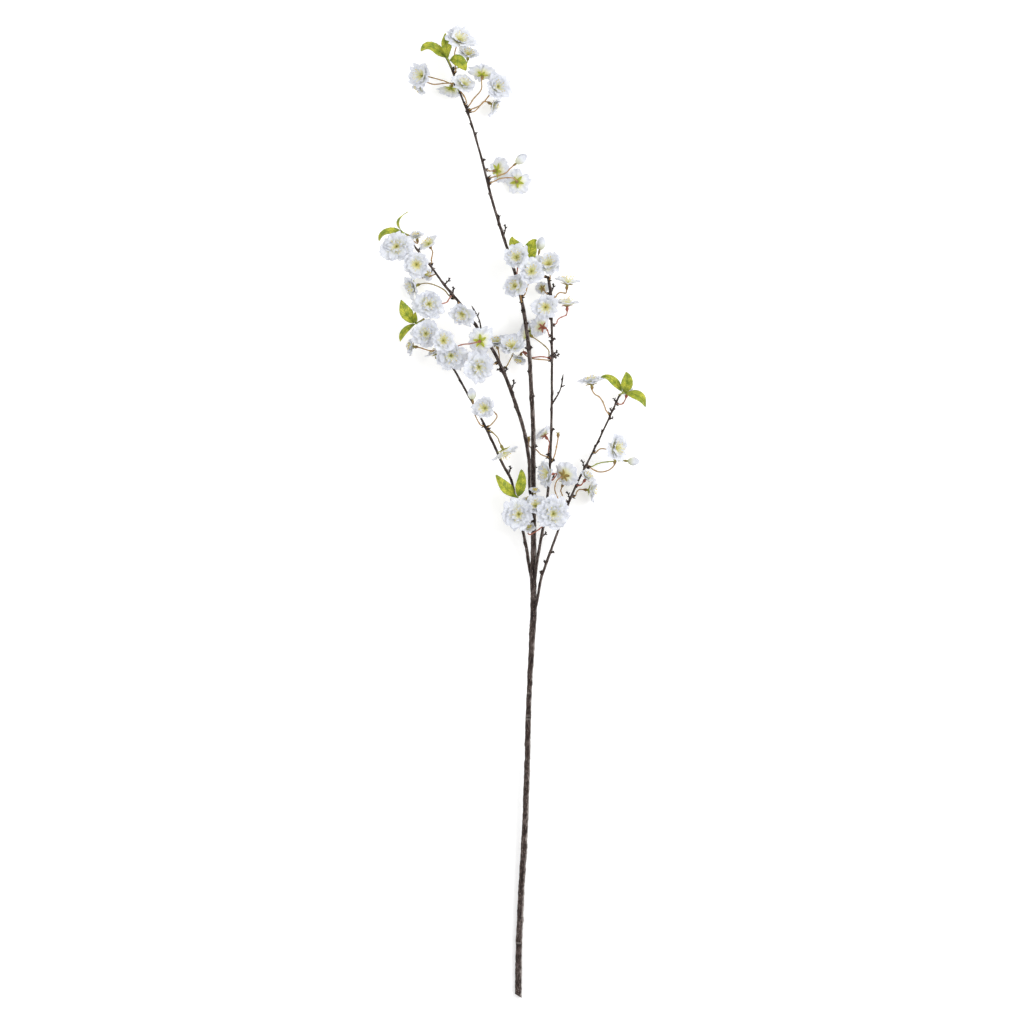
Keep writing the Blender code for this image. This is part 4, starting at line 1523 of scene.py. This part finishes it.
@dataclass
class Bud(Blossom):
    """A closed bud: petals wrapped round each other on a short stalk."""

    def build(self) -> None:
        """Makes the stalk with its sepals, and the wrapped petals."""
        self.random = random.Random(self.seed)
        self.build_stalk()
        piece = Workpiece(f"{self.head.name}_petals", [BUD_PETALS])
        for index in range(5):
            self.add_wrap(piece, index)
        piece.thicken(self.wall)
        piece.finish_off(self.nodes)

    def add_wrap(self, piece: Workpiece, index: int) -> None:
        """One petal wrapped round the bud, each a little outside the last.

        Args:
            piece: The piece that it goes in.
            index: Its place in the bud, from the inside out.
        """
        head = self.head
        length = 2.55 * head.radius
        start = 2 * math.pi * index * 2 / 5 + self.random.uniform(-0.1, 0.1)
        outside = 1 - 0.05 * (4 - index)

        def place(u: float, v: float) -> Vector:
            """A point of the wrapped petal.

            Args:
                u: The place across the grid, from 0 to 1.
                v: The place along it, from 0 to 1.

            Returns:
                The point.
            """
            x = 2 * u - 1
            turn = start + 1.05 * x * (1 - 0.25 * v) + 0.5 * v
            out, _ = self.frame_at(turn)
            run = v * (1 - 0.08 * x * x)
            bulge = math.sin(math.pi * min(1.0, 0.12 + 0.84 * run)) ** 0.75
            reach = head.radius * outside * bulge * (1.0 + 0.03 * math.sin(5 * x + index))
            point = head.neck + out * reach + head.axis * length * run
            point.z = max(point.z, SURFACE_Z)
            return point

        piece.sheet(10, 10, place, BUD_PETALS)


@dataclass(frozen=True)
class FarHead:
    """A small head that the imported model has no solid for, with its stalk's points from the root."""

    kind: type[Blossom]
    name: str
    tone: StalkTone
    width: float
    middle: Spot
    facing: Spot
    stalk: tuple[Spot, ...]

    def build(self, seed: int) -> None:
        """Makes the head and its stalk.

        Args:
            seed: What its random draws start from.
        """
        head = Head.of_face(self.name, self.width, self.middle, self.facing, self.stalk)
        self.kind(head, Fullness.HALF_DOUBLE, self.tone, [], seed).build()


# Leaves


@dataclass(frozen=True)
class Leaf:
    """One leaf: the middle of its midrib, its tip, its width and the way its upper side faces."""

    middle: tuple[float, float, float]
    tip: tuple[float, float, float]
    width: float
    facing: tuple[float, float, float]


@dataclass
class LeafShoot:
    """A few leaves on a common foot."""

    node: str
    low: tuple[float, float, float]
    high: tuple[float, float, float]
    leaves: tuple[Leaf, ...]
    wall: float = 0.0003
    fold: float = math.radians(22)
    wave: float = 0.09
    ripple: float = 0.012
    petiole_stops: int = 28
    foot_radius: float = 0.001
    petiole_radius: float = 0.0006

    def build(self) -> None:
        """Makes the blades with their wall, then the foot and the petioles."""
        self.random = random.Random(self.node)
        piece = Workpiece(f"{self.node}_leaves", [LEAVES, StalkTone.GREEN.value])
        lines = []
        low, high = Vector(self.low), Vector(self.high)
        for index, leaf in enumerate(self.leaves):
            start = high.lerp(low, 0.2 * (index + 1) / len(self.leaves))
            control = 2 * Vector(leaf.middle) - 0.5 * (start + Vector(leaf.tip))
            stops = [
                (1 - t) ** 2 * start + 2 * t * (1 - t) * control + t * t * Vector(leaf.tip)
                for t in (k / 8 for k in range(9))
            ]
            lines.append(MiddleLine(stops, samples=32))
            self.add_blade(piece, lines[-1], leaf)
        piece.thicken(self.wall)
        lines.append(MiddleLine([low + 0.3 * (low - high), low, high], samples=12))
        for line in lines:
            self.add_foot(piece, line, line is lines[-1])
        piece.finish_off([self.node])

    def add_blade(self, piece: Workpiece, line: MiddleLine, leaf: Leaf) -> None:
        """A blade: a grid folded along the midrib, with a wavy toothed edge.

        Args:
            piece: The piece that it goes in.
            line: The leaf's midrib.
            leaf: The leaf.
        """
        phase = self.random.uniform(0, 2 * math.pi)
        facing = Vector(leaf.facing)

        def place(u: float, v: float) -> Vector:
            """A point of the blade.

            Args:
                u: The place across the grid, from 0 to 1.
                v: The place along it, from 0 to 1.

            Returns:
                The point.
            """
            x = 2 * u - 1
            part = 0.1 + 0.9 * v
            middle, along, _ = line.at(part)
            up = (facing - along * facing.dot(along)).normalized()
            across = up.cross(along)
            half = 0.5 * leaf.width * max(0.02, math.sin(math.pi * (0.03 + 0.97 * v))) ** 0.8
            half *= 1 + 0.05 * abs(math.sin(26 * v + phase))
            fold = self.fold * (1 - 0.4 * abs(x))
            point = middle + x * half * math.cos(fold) * across + abs(x) * half * math.sin(fold) * up
            wave = self.wave * leaf.width * x * x * math.sin(9 * v + phase + x)
            ripple = self.ripple * leaf.width * math.sin(2 * math.pi * (9 * v - 1.3 * abs(x)))
            return point + up * (wave + ripple * min(1.0, 3 * abs(x)))

        piece.sheet(10, 26, place, LEAVES)

    def add_foot(self, piece: Workpiece, line: MiddleLine, is_foot: bool) -> None:
        """The common foot, or the petiole and midrib under one blade.

        Args:
            piece: The piece that it goes in.
            line: Its middle line.
            is_foot: Whether it is the common foot.
        """

        def radius(turn: float, v: float) -> float:
            """The radius of the foot or of the petiole."""
            if is_foot:
                return self.foot_radius * (1 + 0.35 * math.exp(-((v * line.length / 0.002) ** 2)))
            return self.petiole_radius * max(0.1, 1 - 0.95 * v)

        tone = (lambda u, v: Vector((1 - v, 0, 0))) if is_foot else (lambda u, v: Vector((0, 1, 0)))
        shaped, rings = line, 12
        if not is_foot:
            lowered = [stop - Vector((0, 0, self.wall)) for stop in line.stops[: self.petiole_stops]]
            shaped, rings = MiddleLine(lowered, samples=18), 18
        piece.tube(shaped, radius, 8, rings, StalkTone.GREEN.value, tone)


# Where the stems, the leaves and the blossoms behind the others are

STEMS = (
    Stem(
        "main_stem",
        route=(
            (0.0075, -0.58, 0.004), (0.008, -0.5285, 0.0055), (0.0105, -0.458, 0.008),
            (0.014, -0.399, 0.01), (0.017, -0.328, 0.013), (0.0205, -0.21, 0.017), (0.023, -0.163, 0.019),
            (0.0255, -0.1155, 0.021), (0.025, -0.0745, 0.0225), (0.0255, -0.039, 0.024),
            (0.0255, 0.014, 0.026), (0.025, 0.0615, 0.028), (0.025, 0.097, 0.0295), (0.0225, 0.15, 0.0315),
            (0.02, 0.191, 0.033), (0.0155, 0.2265, 0.0345), (0.0105, 0.2535, 0.0355),
            (0.0025, 0.2855, 0.0365), (-0.007, 0.315, 0.0375), (-0.0225, 0.3645, 0.038),
            (-0.0355, 0.4155, 0.039), (-0.0485, 0.46, 0.04), (-0.058, 0.486, 0.0405),
            (-0.065, 0.505, 0.041), (-0.072, 0.524, 0.0415), (-0.079, 0.538, 0.042),
        ),
        radii=(
            (-0.58, 0.0039), (-0.4, 0.0036), (-0.27, 0.0033), (-0.21, 0.003), (-0.135, 0.0038),
            (-0.07, 0.0034), (0.07, 0.0027), (0.21, 0.0023), (0.39, 0.0015), (0.538, 0.001),
        ),
        stubs=(
            (0.472, (-0.003, 0.002, 0.001)), (0.4545, (-0.003, 0.002, 0.002)),
            (0.445, (0.001, 0.004, -0.001)), (0.5145, (0.002, 0.005, 0.001)),
            (0.499, (-0.007, 0.005, 0.002)), (0.414, (0.003, 0.003, -0.002)), (0.387, (0.0, 0.007, 0.003)),
            (0.373, (-0.003, 0.002, -0.002)), (0.3445, (0.0, 0.007, 0.002)),
            (0.3385, (-0.003, 0.002, 0.003)), (0.3255, (0.002, 0.014, -0.002)),
            (0.2335, (-0.0036, 0.0035, 0.002)), (0.2225, (0.0034, 0.001, 0.002)),
            (0.2135, (0.0036, 0.0015, 0.003)), (0.194, (-0.0045, -0.0015, 0.002)),
            (0.19, (0.0032, 0.005, 0.003)), (0.167, (-0.004, 0.0005, 0.001)),
            (0.1345, (-0.003, 0.003, 0.001)), (0.1335, (0.002, 0.004, 0.002)),
            (0.0755, (0.004, 0.005, 0.001)), (0.0495, (0.003, 0.005, -0.002)),
            (-0.204, (0.0034, 0.001, 0.002)), (-0.2745, (-0.0033, 0.001, 0.001)),
            (-0.394, (0.0036, 0.001, 0.001)), (-0.4815, (0.0036, 0.001, -0.001)),
        ),
        scars=(-0.2148, -0.2407, -0.2443, -0.5098),
        bands=(-0.2425, -0.2163),
        forks=(
            (0.0235, 0.014, 0.0295), (0.0225, -0.0895, 0.017), (0.0275, -0.085, 0.027),
            (0.0275, -0.1215, 0.026),
        ),
        is_cut=True,
        sides=18,
    ),
    Stem(
        "branch_left_upper",
        route=(
            (0.023, 0.014, 0.0305), (0.021, 0.026, 0.031), (0.0205, 0.04, 0.0315), (0.0205, 0.0565, 0.032),
            (0.0185, 0.073, 0.033), (0.014, 0.097, 0.034), (0.003, 0.131, 0.0345),
            (-0.0085, 0.1615, 0.035), (-0.0225, 0.191, 0.035), (-0.0425, 0.2195, 0.035),
            (-0.06, 0.2445, 0.035), (-0.08, 0.268, 0.0345), (-0.097, 0.2915, 0.034),
            (-0.1135, 0.3115, 0.033), (-0.1215, 0.3245, 0.032),
        ),
        radii=(
            (0.014, 0.0015), (0.04, 0.0018), (0.07, 0.0022), (0.13, 0.0022), (0.17, 0.002), (0.24, 0.0016),
            (0.3245, 0.001),
        ),
        stubs=(
            (0.308, (0.002, 0.003, 0.001)), (0.268, (0.007, 0.008, 0.002)),
            (0.257, (0.001, 0.009, -0.001)), (0.1635, (0.003, 0.0075, 0.001)),
            (0.164, (-0.008, 0.0045, 0.001)), (0.143, (0.0035, 0.013, 0.001)),
            (0.141, (0.003, 0.0005, 0.0)), (0.1245, (-0.0034, -0.0005, 0.001)),
            (0.211, (-0.0112, 0.0313, 0.0025)),
        ),
    ),
    Stem(
        "branch_left_lower",
        route=(
            (0.025, -0.0895, 0.016), (0.02, -0.0625, 0.0185), (0.0165, -0.039, 0.0205),
            (0.0085, -0.0035, 0.023), (0.0035, 0.0175, 0.024), (-0.001, 0.038, 0.0245),
            (-0.0105, 0.0555, 0.025), (-0.0235, 0.084, 0.0255), (-0.039, 0.1155, 0.026),
            (-0.053, 0.1405, 0.0265), (-0.0675, 0.1665, 0.027), (-0.0875, 0.197, 0.0275),
            (-0.104, 0.2255, 0.028),
        ),
        radii=(
            (-0.0895, 0.0014), (-0.06, 0.0019), (0.09, 0.0015), (0.2255, 0.0009),
        ),
        stubs=(
            (0.1535, (-0.003, 0.002, 0.001)), (0.099, (-0.0035, 0.005, 0.001)),
            (0.086, (-0.0024, 0.0015, 0.002)), (0.045, (0.002, 0.01, -0.001)),
            (-0.038, (-0.003, 0.002, 0.001)),
        ),
    ),
    Stem(
        "branch_right_inner",
        route=(
            (0.027, -0.085, 0.028), (0.0295, -0.059, 0.0285), (0.033, -0.039, 0.029),
            (0.04, 0.0025, 0.031), (0.0435, 0.038, 0.033), (0.046, 0.085, 0.035), (0.047, 0.144, 0.0365),
            (0.047, 0.209, 0.0375), (0.046, 0.2525, 0.038), (0.0425, 0.2785, 0.0385),
        ),
        radii=(
            (-0.085, 0.0013), (-0.06, 0.0018), (0.09, 0.0015), (0.235, 0.0014), (0.262, 0.0018),
            (0.2785, 0.0016),
        ),
        stubs=(
            (0.258, (0.0035, 0.011, -0.003)), (0.202, (0.0036, 0.004, 0.001)),
            (0.1965, (-0.0026, 0.006, 0.001)), (0.2265, (-0.004, 0.004, 0.002)),
            (0.184, (0.0065, 0.006, 0.001)), (0.1835, (0.009, 0.0025, -0.001)),
            (0.183, (0.006, -0.001, 0.0)), (0.1205, (-0.002, 0.001, 0.002)),
            (0.0955, (0.003, 0.004, 0.001)), (0.0635, (-0.004, 0.005, 0.001)),
            (0.0355, (0.007, 0.01, 0.001)), (-0.0295, (0.006, 0.006, -0.001)),
            (0.1265, (0.013, 0.035, 0.002)), (0.058, (0.005, 0.005, 0.001)),
        ),
    ),
    Stem(
        "branch_right_outer",
        route=(
            (0.026, -0.1215, 0.026), (0.0295, -0.106, 0.0265), (0.034, -0.08, 0.0265),
            (0.039, -0.065, 0.026), (0.0495, -0.0355, 0.026), (0.065, 0.006, 0.026),
            (0.078, 0.0365, 0.0265), (0.0895, 0.059, 0.027), (0.1075, 0.0955, 0.028),
            (0.119, 0.1205, 0.029), (0.1265, 0.137, 0.03),
        ),
        radii=(
            (-0.1215, 0.0013), (-0.1, 0.0017), (0.03, 0.0013), (0.137, 0.0009),
        ),
        stubs=(
            (0.1285, (-0.003, 0.006, 0.001)), (0.1335, (0.002, 0.005, 0.001)),
            (0.1205, (0.003, 0.001, 0.001)), (0.118, (-0.003, 0.005, 0.002)),
            (0.1085, (0.006, 0.003, 0.001)), (0.092, (0.0, 0.006, 0.001)), (0.0815, (0.003, 0.002, 0.001)),
            (0.0755, (0.0, 0.004, 0.002)), (0.0495, (-0.003, 0.012, 0.001)),
            (0.0295, (0.0026, 0.0, 0.001)), (0.013, (-0.0035, 0.011, 0.002)),
            (0.0105, (-0.003, -0.001, 0.001)), (-0.0745, (-0.003, 0.005, 0.001)),
            (-0.0485, (0.005, 0.002, 0.001)), (-0.059, (-0.004, 0.001, 0.001)),
        ),
    ),
)

SHOOTS = (
    LeafShoot(
        "leaf_shoot_top",
        (-0.0725, 0.5265, 0.0435),
        (-0.0755, 0.5335, 0.045),
        (
            Leaf((-0.0945, 0.5475, 0.052), (-0.1075, 0.543, 0.05), 0.013, (-0.3, 0.5, 0.8)),
            Leaf((-0.078, 0.55, 0.052), (-0.079, 0.564, 0.054), 0.013, (0.5, 0.0, 0.85)),
            Leaf((-0.063, 0.531, 0.052), (-0.0545, 0.52, 0.05), 0.014, (0.0, 0.2, 0.97)),
        ),
    ),
    LeafShoot(
        "leaf_shoot_left_upper",
        (-0.1235, 0.327, 0.034),
        (-0.1275, 0.329, 0.038),
        (
            Leaf((-0.1335, 0.341, 0.043), (-0.1225, 0.354, 0.04), 0.007, (-0.9, 0.2, 0.4)),
            Leaf((-0.1465, 0.3305, 0.044), (-0.157, 0.32, 0.036), 0.0095, (-0.2, 0.5, 0.8)),
        ),
    ),
    LeafShoot(
        "leaf_shoot_left_lower",
        (-0.106, 0.2265, 0.0295),
        (-0.1135, 0.222, 0.034),
        (
            Leaf((-0.124, 0.2325, 0.044), (-0.131, 0.25, 0.046), 0.0155, (0.3, 0.3, 0.9)),
            Leaf((-0.1145, 0.229, 0.04), (-0.1135, 0.236, 0.042), 0.006, (0.0, 0.0, 1.0)),
            Leaf((-0.1265, 0.2135, 0.034), (-0.132, 0.201, 0.027), 0.0075, (-0.3, -0.2, 0.9)),
        ),
    ),
    LeafShoot(
        "leaf_shoot_inner",
        (0.0125, 0.269, 0.0385),
        (0.02, 0.295, 0.041),
        (
            Leaf((0.0035, 0.314, 0.042), (0.0005, 0.3245, 0.043), 0.0165, (0.0, 0.0, 1.0)),
            Leaf((0.022, 0.312, 0.046), (0.029, 0.3205, 0.047), 0.0165, (0.2, 0.0, 1.0)),
        ),
    ),
    LeafShoot(
        "leaf_shoot_right_outer",
        (0.1275, 0.1385, 0.031),
        (0.131, 0.1405, 0.036),
        (
            Leaf((0.117, 0.1565, 0.046), (0.105, 0.1585, 0.042), 0.0095, (-0.3, 0.5, 0.8)),
            Leaf((0.1355, 0.152, 0.046), (0.1345, 0.165, 0.046), 0.014, (0.0, 0.0, 1.0)),
            Leaf((0.1485, 0.1365, 0.044), (0.1575, 0.124, 0.036), 0.012, (0.3, 0.3, 0.9)),
        ),
    ),
    LeafShoot(
        "leaf_shoot_middle",
        (0.0045, 0.012, 0.026),
        (0.007, 0.0165, 0.034),
        (
            Leaf((-0.0085, 0.0295, 0.044), (-0.019, 0.0435, 0.044), 0.014, (0.3, 0.3, 0.9)),
            Leaf((0.0105, 0.0355, 0.046), (0.011, 0.05, 0.046), 0.013, (0.3, 0.0, 0.95)),
            Leaf((0.0025, 0.019, 0.038), (-0.0045, 0.021, 0.038), 0.0045, (0.0, 0.0, 1.0)),
        ),
    ),
)

FAR_HEADS = (
    FarHead(
        Blossom, "far_top", StalkTone.TAN, 0.0224, (-0.1133, 0.4991, 0.03), (-0.7, -0.6, 0.2),
        ((-0.0655, 0.505, 0.04), (-0.0779, 0.5056, 0.037), (-0.092, 0.5045, 0.033)),
    ),
    FarHead(
        Blossom, "far_left_1", StalkTone.TAN, 0.0201, (-0.1133, 0.3292, 0.014), (-0.1, 0.7, 0.3),
        ((-0.1227, 0.3251, 0.031), (-0.1192, 0.3221, 0.024)),
    ),
    FarHead(
        Blossom, "far_left_2", StalkTone.TAN, 0.0189, (-0.0991, 0.282, 0.014), (0.4, 0.3, 0.5),
        ((-0.0932, 0.2867, 0.032), (-0.0909, 0.2808, 0.024)),
    ),
    FarHead(
        Blossom, "far_left_3", StalkTone.TAN, 0.0212, (-0.1227, 0.1959, 0.022), (-0.9, 0.1, 0.2),
        ((-0.0844, 0.1912, 0.0265), (-0.0968, 0.1906, 0.024)),
    ),
    FarHead(
        Blossom, "far_left_4", StalkTone.OLIVE, 0.0212, (-0.0932, 0.1912, 0.018), (-0.45, 0.9, 0.1),
        ((-0.0708, 0.1723, 0.026), (-0.0791, 0.1735, 0.022)),
    ),
    FarHead(
        Blossom, "far_right", StalkTone.RED, 0.0224, (0.1369, 0.1463, 0.02), (0.2, 0.9, -0.3),
        ((0.1239, 0.128, 0.0285), (0.1298, 0.1274, 0.027)),
    ),
    FarHead(
        Blossom, "far_inner_1", StalkTone.TAN, 0.0177, (0.0342, 0.2655, 0.018), (-0.3, 0.3, -0.8),
        ((0.0443, 0.2572, 0.037), (0.0401, 0.2584, 0.032)),
    ),
    FarHead(
        Blossom, "far_inner_2", StalkTone.TAN, 0.0201, (0.0071, 0.1782, 0.019), (-0.4, -0.85, 0.3),
        (
            (0.046, 0.1788, 0.036), (0.0342, 0.1799, 0.031),
            (0.0236, 0.1812, 0.026), (0.0165, 0.1847, 0.022),
        ),
    ),
    FarHead(
        Calyx, "bare_inner", StalkTone.RED, 0.0142, (0.0089, 0.1912, 0.024), (-0.9, 0.45, 0.0),
        (
            (0.0448, 0.1817, 0.037), (0.0342, 0.1833, 0.031),
            (0.0236, 0.1824, 0.027), (0.0189, 0.1859, 0.025),
        ),
    ),
    FarHead(
        Blossom, "far_middle_1", StalkTone.TAN, 0.0153, (0.0189, 0.0165, 0.036), (-0.2, 0.8, 0.4),
        ((0.0242, 0.0059, 0.0275), (0.0224, 0.0083, 0.031)),
    ),
    FarHead(
        Blossom, "far_middle_2", StalkTone.RED, 0.0165, (0.0201, -0.0165, 0.04), (0.1, 0.6, 0.6),
        (
            (0.0378, -0.0153, 0.0315), (0.033, -0.0195, 0.034),
            (0.0271, -0.0236, 0.036), (0.0212, -0.0266, 0.037),
        ),
    ),
    FarHead(
        Blossom, "far_middle_3", StalkTone.TAN, 0.0142, (0.0271, 0.0271, 0.038), (0.1, 0.8, 0.5),
        ((0.0254, 0.0142, 0.028), (0.025, 0.0165, 0.031)),
    ),
    FarHead(
        Calyx, "bare_middle", StalkTone.TAN, 0.0106, (0.0543, 0.0968, 0.034), (0.0, 0.98, 0.1),
        ((0.0478, 0.0614, 0.035), (0.0504, 0.0673, 0.034), (0.0527, 0.0779, 0.033)),
    ),
    FarHead(
        Calyx, "bare_left", StalkTone.TAN, 0.0106, (0.0195, 0.092, 0.029), (-0.05, 0.99, 0.05),
        (
            (0.0425, 0.0649, 0.0345), (0.0342, 0.0679, 0.03), (0.0289, 0.0732, 0.0255),
            (0.0236, 0.0755, 0.023), (0.0201, 0.0779, 0.024),
        ),
    ),
    FarHead(
        Calyx, "bare_right", StalkTone.TAN, 0.0106, (0.1221, 0.0649, 0.026), (0.15, 0.95, 0.1),
        (
            (0.0909, 0.0537, 0.027), (0.0968, 0.0496, 0.027),
            (0.105, 0.0472, 0.026), (0.1145, 0.0496, 0.025),
        ),
    ),
)


# Studio


@dataclass
class Studio:
    """The floor, the light and the camera."""

    floor_side: float = 9.0
    camera_height: float = 10.0
    focus_height: float = 0.03
    framed: float = 1.2083
    sensor: float = 36.0
    key_energy: float = 60.0
    fill_energy: float = 20.0
    sky: float = 0.82

    def build(self) -> None:
        """Makes everything round the spray."""
        self.add_floor()
        self.add_light("key_light", (2.2, 0.9, 2.8), 2.2, self.key_energy)
        self.add_light("fill_light", (-2.3, 0.6, 2.6), 3.0, self.fill_energy)
        self.add_sky()
        self.add_camera()
        bpy.context.scene.view_settings.view_transform = "Standard"

    def add_floor(self) -> None:
        """The plain surface, its face just under the spray."""
        bm = bmesh.new()
        bmesh.ops.create_grid(bm, x_segments=1, y_segments=1, size=self.floor_side / 2)
        mesh = bpy.data.meshes.new("floor")
        bm.to_mesh(mesh)
        bm.free()
        mesh.materials.append(FLOOR.build())
        floor = bpy.data.objects.new("floor", mesh)
        bpy.context.scene.collection.objects.link(floor)

    def add_light(self, name: str, place: tuple[float, float, float], side: float, energy: float) -> None:
        """A large soft panel that looks at the spray.

        Args:
            name: The light's name.
            place: Where it is.
            side: How wide the panel is.
            energy: Its power.
        """
        data = bpy.data.lights.new(name, "AREA")
        data.size = side
        data.energy = energy
        lamp = bpy.data.objects.new(name, data)
        lamp.location = place
        lamp.rotation_euler = (-Vector(place)).to_track_quat("-Z", "Y").to_euler()
        bpy.context.scene.collection.objects.link(lamp)

    def add_sky(self) -> None:
        """Even white light from all round."""
        world = bpy.data.worlds.new("studio")
        world.use_nodes = True
        back = world.node_tree.nodes.get("Background") or world.node_tree.nodes.new("ShaderNodeBackground")
        back.inputs["Color"].default_value = (1.0, 1.0, 1.0, 1.0)
        back.inputs["Strength"].default_value = self.sky
        bpy.context.scene.world = world

    def add_camera(self) -> None:
        """A long lens that looks straight down, with the stem's tip at the top."""
        data = bpy.data.cameras.new("camera")
        data.sensor_width = self.sensor
        data.lens = self.sensor * (self.camera_height - self.focus_height) / self.framed
        data.clip_end = 50.0
        camera = bpy.data.objects.new("camera", data)
        camera.location = (0.0, 0.0, self.camera_height)
        bpy.context.scene.collection.objects.link(camera)
        bpy.context.scene.camera = camera


# The spray


@dataclass
class Spray:
    """The whole spray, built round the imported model."""

    nodes: dict[str, bpy.types.Object]
    near_seed: int = 100
    far_seed: int = 300
    red: tuple[str, ...] = (
        "left_7", "inner_1", "inner_7", "inner_8", "left_5", "middle_5", "right_3", "middle_4",
    )
    olive: tuple[str, ...] = ("inner_9", "inner_10", "left_4", "left_14")
    green: tuple[str, ...] = ("top_2", "top_4", "bud_right")
    bright: tuple[str, ...] = (
        "top_2", "top_3", "top_4", "top_6", "top_7", "upper_1", "upper_2", "bud_upper", "left_4", "left_7",
        "left_14", "inner_9", "inner_10", "right_2", "right_4", "bud_right", "bud_left",
    )
    double: tuple[str, ...] = (
        "left_1", "left_5", "left_12", "middle_1", "middle_3", "top_7", "left_8", "left_10",
    )
    single: tuple[str, ...] = ("left_7", "inner_6", "inner_7", "left_3", "upper_2", "left_14")

    def build(self) -> None:
        """Makes the stems, the blossoms and the leaves in order."""
        heads = [
            Head.of_node(name, node)
            for name, node in sorted(self.nodes.items())
            if name.startswith(("blossom", "bud"))
        ]
        for stem in STEMS:
            stem.build([head.line[0] for head in heads] + [Vector(far.stalk[0]) for far in FAR_HEADS])
        for index, head in enumerate(heads):
            kind = Bud if head.is_bud else Blossom
            kind(
                head,
                self.fullness_of(head.name),
                self.tone_of(head.name),
                [head.name],
                self.near_seed + index,
                is_bright=head.name.endswith(self.bright),
            ).build()
        for index, far in enumerate(FAR_HEADS):
            far.build(self.far_seed + index)
        for shoot in SHOOTS:
            shoot.build()

    def tone_of(self, name: str) -> StalkTone:
        """The colour of a blossom's stalk.

        Args:
            name: The blossom's name.

        Returns:
            Its tone.
        """
        if name.endswith(self.red):
            return StalkTone.RED
        if name.endswith(self.green):
            return StalkTone.GREEN
        return StalkTone.OLIVE if name.endswith(self.olive) else StalkTone.TAN

    def fullness_of(self, name: str) -> Fullness:
        """How full a blossom is.

        Args:
            name: The blossom's name.

        Returns:
            Its fullness.
        """
        if name.endswith(self.double):
            return Fullness.DOUBLE
        return Fullness.SINGLE if name.endswith(self.single) else Fullness.HALF_DOUBLE


def main() -> None:
    """Loads the frame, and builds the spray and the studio."""
    logging.basicConfig(level=logging.INFO, format="%(message)s")
    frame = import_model()
    Spray(frame["nodes"]).build()
    Studio().build()


if __name__ == "__main__":
    main()
